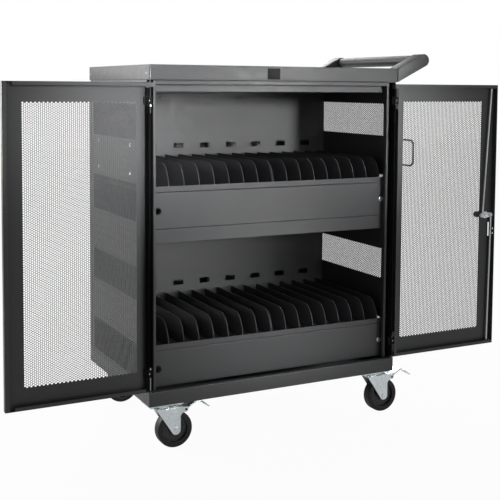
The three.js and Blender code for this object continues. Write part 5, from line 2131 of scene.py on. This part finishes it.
    def pedal(self, name: str, place: Matrix) -> None:
        """Pressed brake pedal: a sleeve on its pin, a rise and a ribbed tread.

        Args:
            name: which caster.
            place: where its swivel stands.
        """
        outline = folded([self.pedal_tip, self.pedal_crown, self.pedal_pivot], self.fork_sheet)
        half = self.pedal_width / 2
        plate = Solid().prism(outline, Axis.Y, -half, half)
        sleeve = Solid().lathe(
            [(3.8, -18.2), (5.3, -18.2), (5.3, 18.2), (3.8, 18.2)], Axis.Y, *self.pedal_pivot, 32
        )
        slope = Vector(self.pedal_tip) - Vector(self.pedal_crown)
        step = slope.normalized() * 6.0
        rib = Solid().block((-0.9, -half + 4, -0.4), (0.9, half - 4, 0.9))
        lean = math.atan2(-slope.y, slope.x)
        start = Vector(self.pedal_crown) + slope.normalized() * 8.0
        rib.moved(
            Matrix.Translation((start.x, 0.0, start.y)) @ Matrix.Rotation(lean, 4, "Y")
        )
        ribs = grown(
            Growth.repeat(),
            eased(rib, 0.4),
            {"Count": 5, "Step": (step.x, 0.0, step.y), "Material": ZINC.material()},
        )
        mesh = joined(eased(plate, 0.8, 3), sleeve.mesh(), ribs)
        mesh.transform(place)
        node = f"{name}_brake_pedal"
        self.shop.piece(f"{node}_zinc", mesh, ZINC, f"{name}_pedal", node)


@dataclass(frozen=True)
class Lamp:
    """A soft lamp: where it hangs, what it looks at, its size, power and spread in degrees."""

    name: str
    place: Triple
    target: Triple
    size: float
    power: float
    spread: float = 180.0

    def hang(self) -> None:
        """Put the lamp in its place, out of the camera's sight."""
        data = bpy.data.lights.new(self.name, "AREA")
        data.shape = "SQUARE"
        data.size = self.size
        data.energy = self.power
        data.spread = math.radians(self.spread)
        lamp = bpy.data.objects.new(self.name, data)
        lamp.location = self.place
        way = Vector(self.target) - Vector(self.place)
        lamp.rotation_euler = way.to_track_quat("-Z", "Y").to_euler()
        lamp.visible_camera = False
        bpy.context.scene.collection.objects.link(lamp)


LAMPS = (
    Lamp("left_lamp", (-2.2, 1.6, 1.5), (-0.4, 0.0, 0.7), 1.6, 77.0),
    Lamp("left_edge_lamp", (-1.8, 2.6, 1.2), (-0.39, -0.1, 1.0), 1.0, 3.2),
    Lamp("front_lamp", (-0.2, -2.2, 1.6), (-0.2, -0.25, 0.9), 0.5, 0.95, 36.0),
    Lamp("broad_lamp", (1.5, -2.6, 1.3), (-0.1, 0.1, 0.8), 1.0, 5.0),
    Lamp("left_door_lamp", (-0.9, -2.6, 1.2), (-0.42, -0.25, 0.86), 0.25, 0.9, 14.0),
    Lamp("right_door_lamp", (0.9, -2.6, 1.2), (0.4, -0.25, 0.86), 0.25, 0.5, 14.0),
    Lamp("upper_bay_lamp", (0.9, -2.0, 1.05), (-0.3, 0.16, 0.9), 0.3, 0.38, 24.0),
    Lamp("lower_bay_lamp", (0.9, -2.0, 0.62), (-0.3, 0.16, 0.48), 0.3, 0.19, 24.0),
    Lamp("lower_face_lamp", (0.2, -2.6, 0.8), (-0.02, -0.21, 0.25), 0.25, 0.36, 22.0),
    Lamp("lower_right_lamp", (1.2, -2.4, 0.5), (0.05, -0.21, 0.24), 0.25, 0.14, 16.0),
    Lamp("back_lamp", (0.9, 3.2, 2.2), (0.0, 0.2, 0.6), 1.6, 60.0),
    Lamp("right_lamp", (3.0, 0.3, 1.9), (0.4, 0.0, 0.6), 1.6, 60.0),
)


@dataclass
class Studio:
    """Pale floor, soft light, white surroundings and the camera."""

    place: Triple = (-1296.44, -2597.99, 977.19)
    azimuth: float = 27.0824
    pitch: float = -4.0116
    roll: float = 0.3828
    lens: float = 69.55
    shift: float = -0.19
    lamps: tuple[Lamp, ...] = LAMPS
    sky_light: float = 0.2
    sky_sheen: float = 0.4
    floor_half: float = 12.0
    floor_tone: float = 0.5
    floor_white: float = 0.96
    floor_sheen: float = 0.35

    def build(self) -> None:
        """Set the floor, the surroundings, the lamps and the camera."""
        bpy.context.scene.view_settings.view_transform = "Standard"
        self.floor()
        self.surroundings()
        for lamp in self.lamps:
            lamp.hang()
        self.camera()

    def floor(self) -> None:
        """Plain pale floor that looks white to the camera but keeps a soft shadow."""
        reach = self.floor_half
        mesh = bpy.data.meshes.new("floor")
        corners = [(-reach, -reach, 0), (reach, -reach, 0), (reach, reach, 0), (-reach, reach, 0)]
        mesh.from_pydata(corners, [], [(0, 1, 2, 3)])
        made = bpy.data.materials.new("pale_floor")
        made.use_nodes = True
        made.node_tree.nodes.clear()
        build = TreeBuilder(made.node_tree)
        path = build.node("ShaderNodeLightPath")
        seen = build.math(
            "MAXIMUM", path.outputs["Is Camera Ray"], path.outputs["Is Transmission Ray"]
        )
        tone = self.floor_tone
        lit = build.node("ShaderNodeBsdfDiffuse", {"Color": (tone, tone, tone, 1.0)})
        bright = build.node("ShaderNodeEmission", {"Color": (1.0, 1.0, 1.0, 1.0), "Strength": 1.0})
        share = build.math(
            "MAXIMUM",
            build.math("MULTIPLY", seen, self.floor_white),
            build.math("MULTIPLY", path.outputs["Is Glossy Ray"], self.floor_sheen),
        )
        mix = build.node(
            "ShaderNodeMixShader", {0: share, 1: lit.outputs[0], 2: bright.outputs[0]}
        )
        build.node("ShaderNodeOutputMaterial", {"Surface": mix.outputs[0]})
        mesh.materials.append(made)
        floor = bpy.data.objects.new("floor", mesh)
        bpy.context.scene.collection.objects.link(floor)

    def surroundings(self) -> None:
        """White surroundings to the eye, softer in the sheen and softer still as a light."""
        world = bpy.data.worlds.new("white_room")
        bpy.context.scene.world = world
        world.use_nodes = True
        world.node_tree.nodes.clear()
        build = TreeBuilder(world.node_tree)
        path = build.node("ShaderNodeLightPath")
        seen = build.math(
            "MAXIMUM", path.outputs["Is Camera Ray"], path.outputs["Is Transmission Ray"]
        )
        light, sheen = (
            (level, level, level, 1.0) for level in (self.sky_light, self.sky_sheen)
        )
        unseen = build.node(
            "ShaderNodeMix",
            {0: path.outputs["Is Glossy Ray"], 6: light, 7: sheen},
            data_type="RGBA",
        )
        tint = build.node(
            "ShaderNodeMix",
            {0: seen, 6: unseen.outputs[2], 7: (1.0, 1.0, 1.0, 1.0)},
            data_type="RGBA",
        )
        shine = build.node("ShaderNodeBackground", {"Color": tint.outputs[2], "Strength": 1.0})
        build.node("ShaderNodeOutputWorld", {"Surface": shine.outputs[0]})

    def camera(self) -> None:
        """Stand the camera where the photo was taken from."""
        turn, tilt, roll = (math.radians(x) for x in (self.azimuth, self.pitch, self.roll))
        ahead = Vector(
            (math.sin(turn) * math.cos(tilt), math.cos(turn) * math.cos(tilt), math.sin(tilt))
        )
        level = Vector((math.cos(turn), -math.sin(turn), 0.0))
        above = level.cross(ahead)
        right = level * math.cos(roll) + above * math.sin(roll)
        data = bpy.data.cameras.new("camera")
        data.sensor_width = 36.0
        data.lens = self.lens
        data.shift_y = self.shift
        camera = bpy.data.objects.new("camera", data)
        axes = Matrix((right, right.cross(ahead), -ahead)).transposed().to_4x4()
        camera.matrix_world = Matrix.Translation(Vector(self.place) * MM) @ axes
        bpy.context.scene.collection.objects.link(camera)
        bpy.context.scene.camera = camera


def main() -> None:
    """Build the cart, one sub-assembly after another, and the studio around it."""
    logging.basicConfig(level=logging.INFO, format="%(message)s")
    shop = Shop()
    for part in (
        CabinetShell(shop), DividerRacks(shop), PushHandle(shop), CordHooks(shop),
        PowerGear(shop), FrontDoors(shop), DoorLock(shop), RearDoors(shop), Casters(shop),
    ):
        part.build()
        log.info("%s is done", type(part).__name__)
    Studio().build()
    log.info("%d pieces", shop.count)


if __name__ == "__main__":
    main()
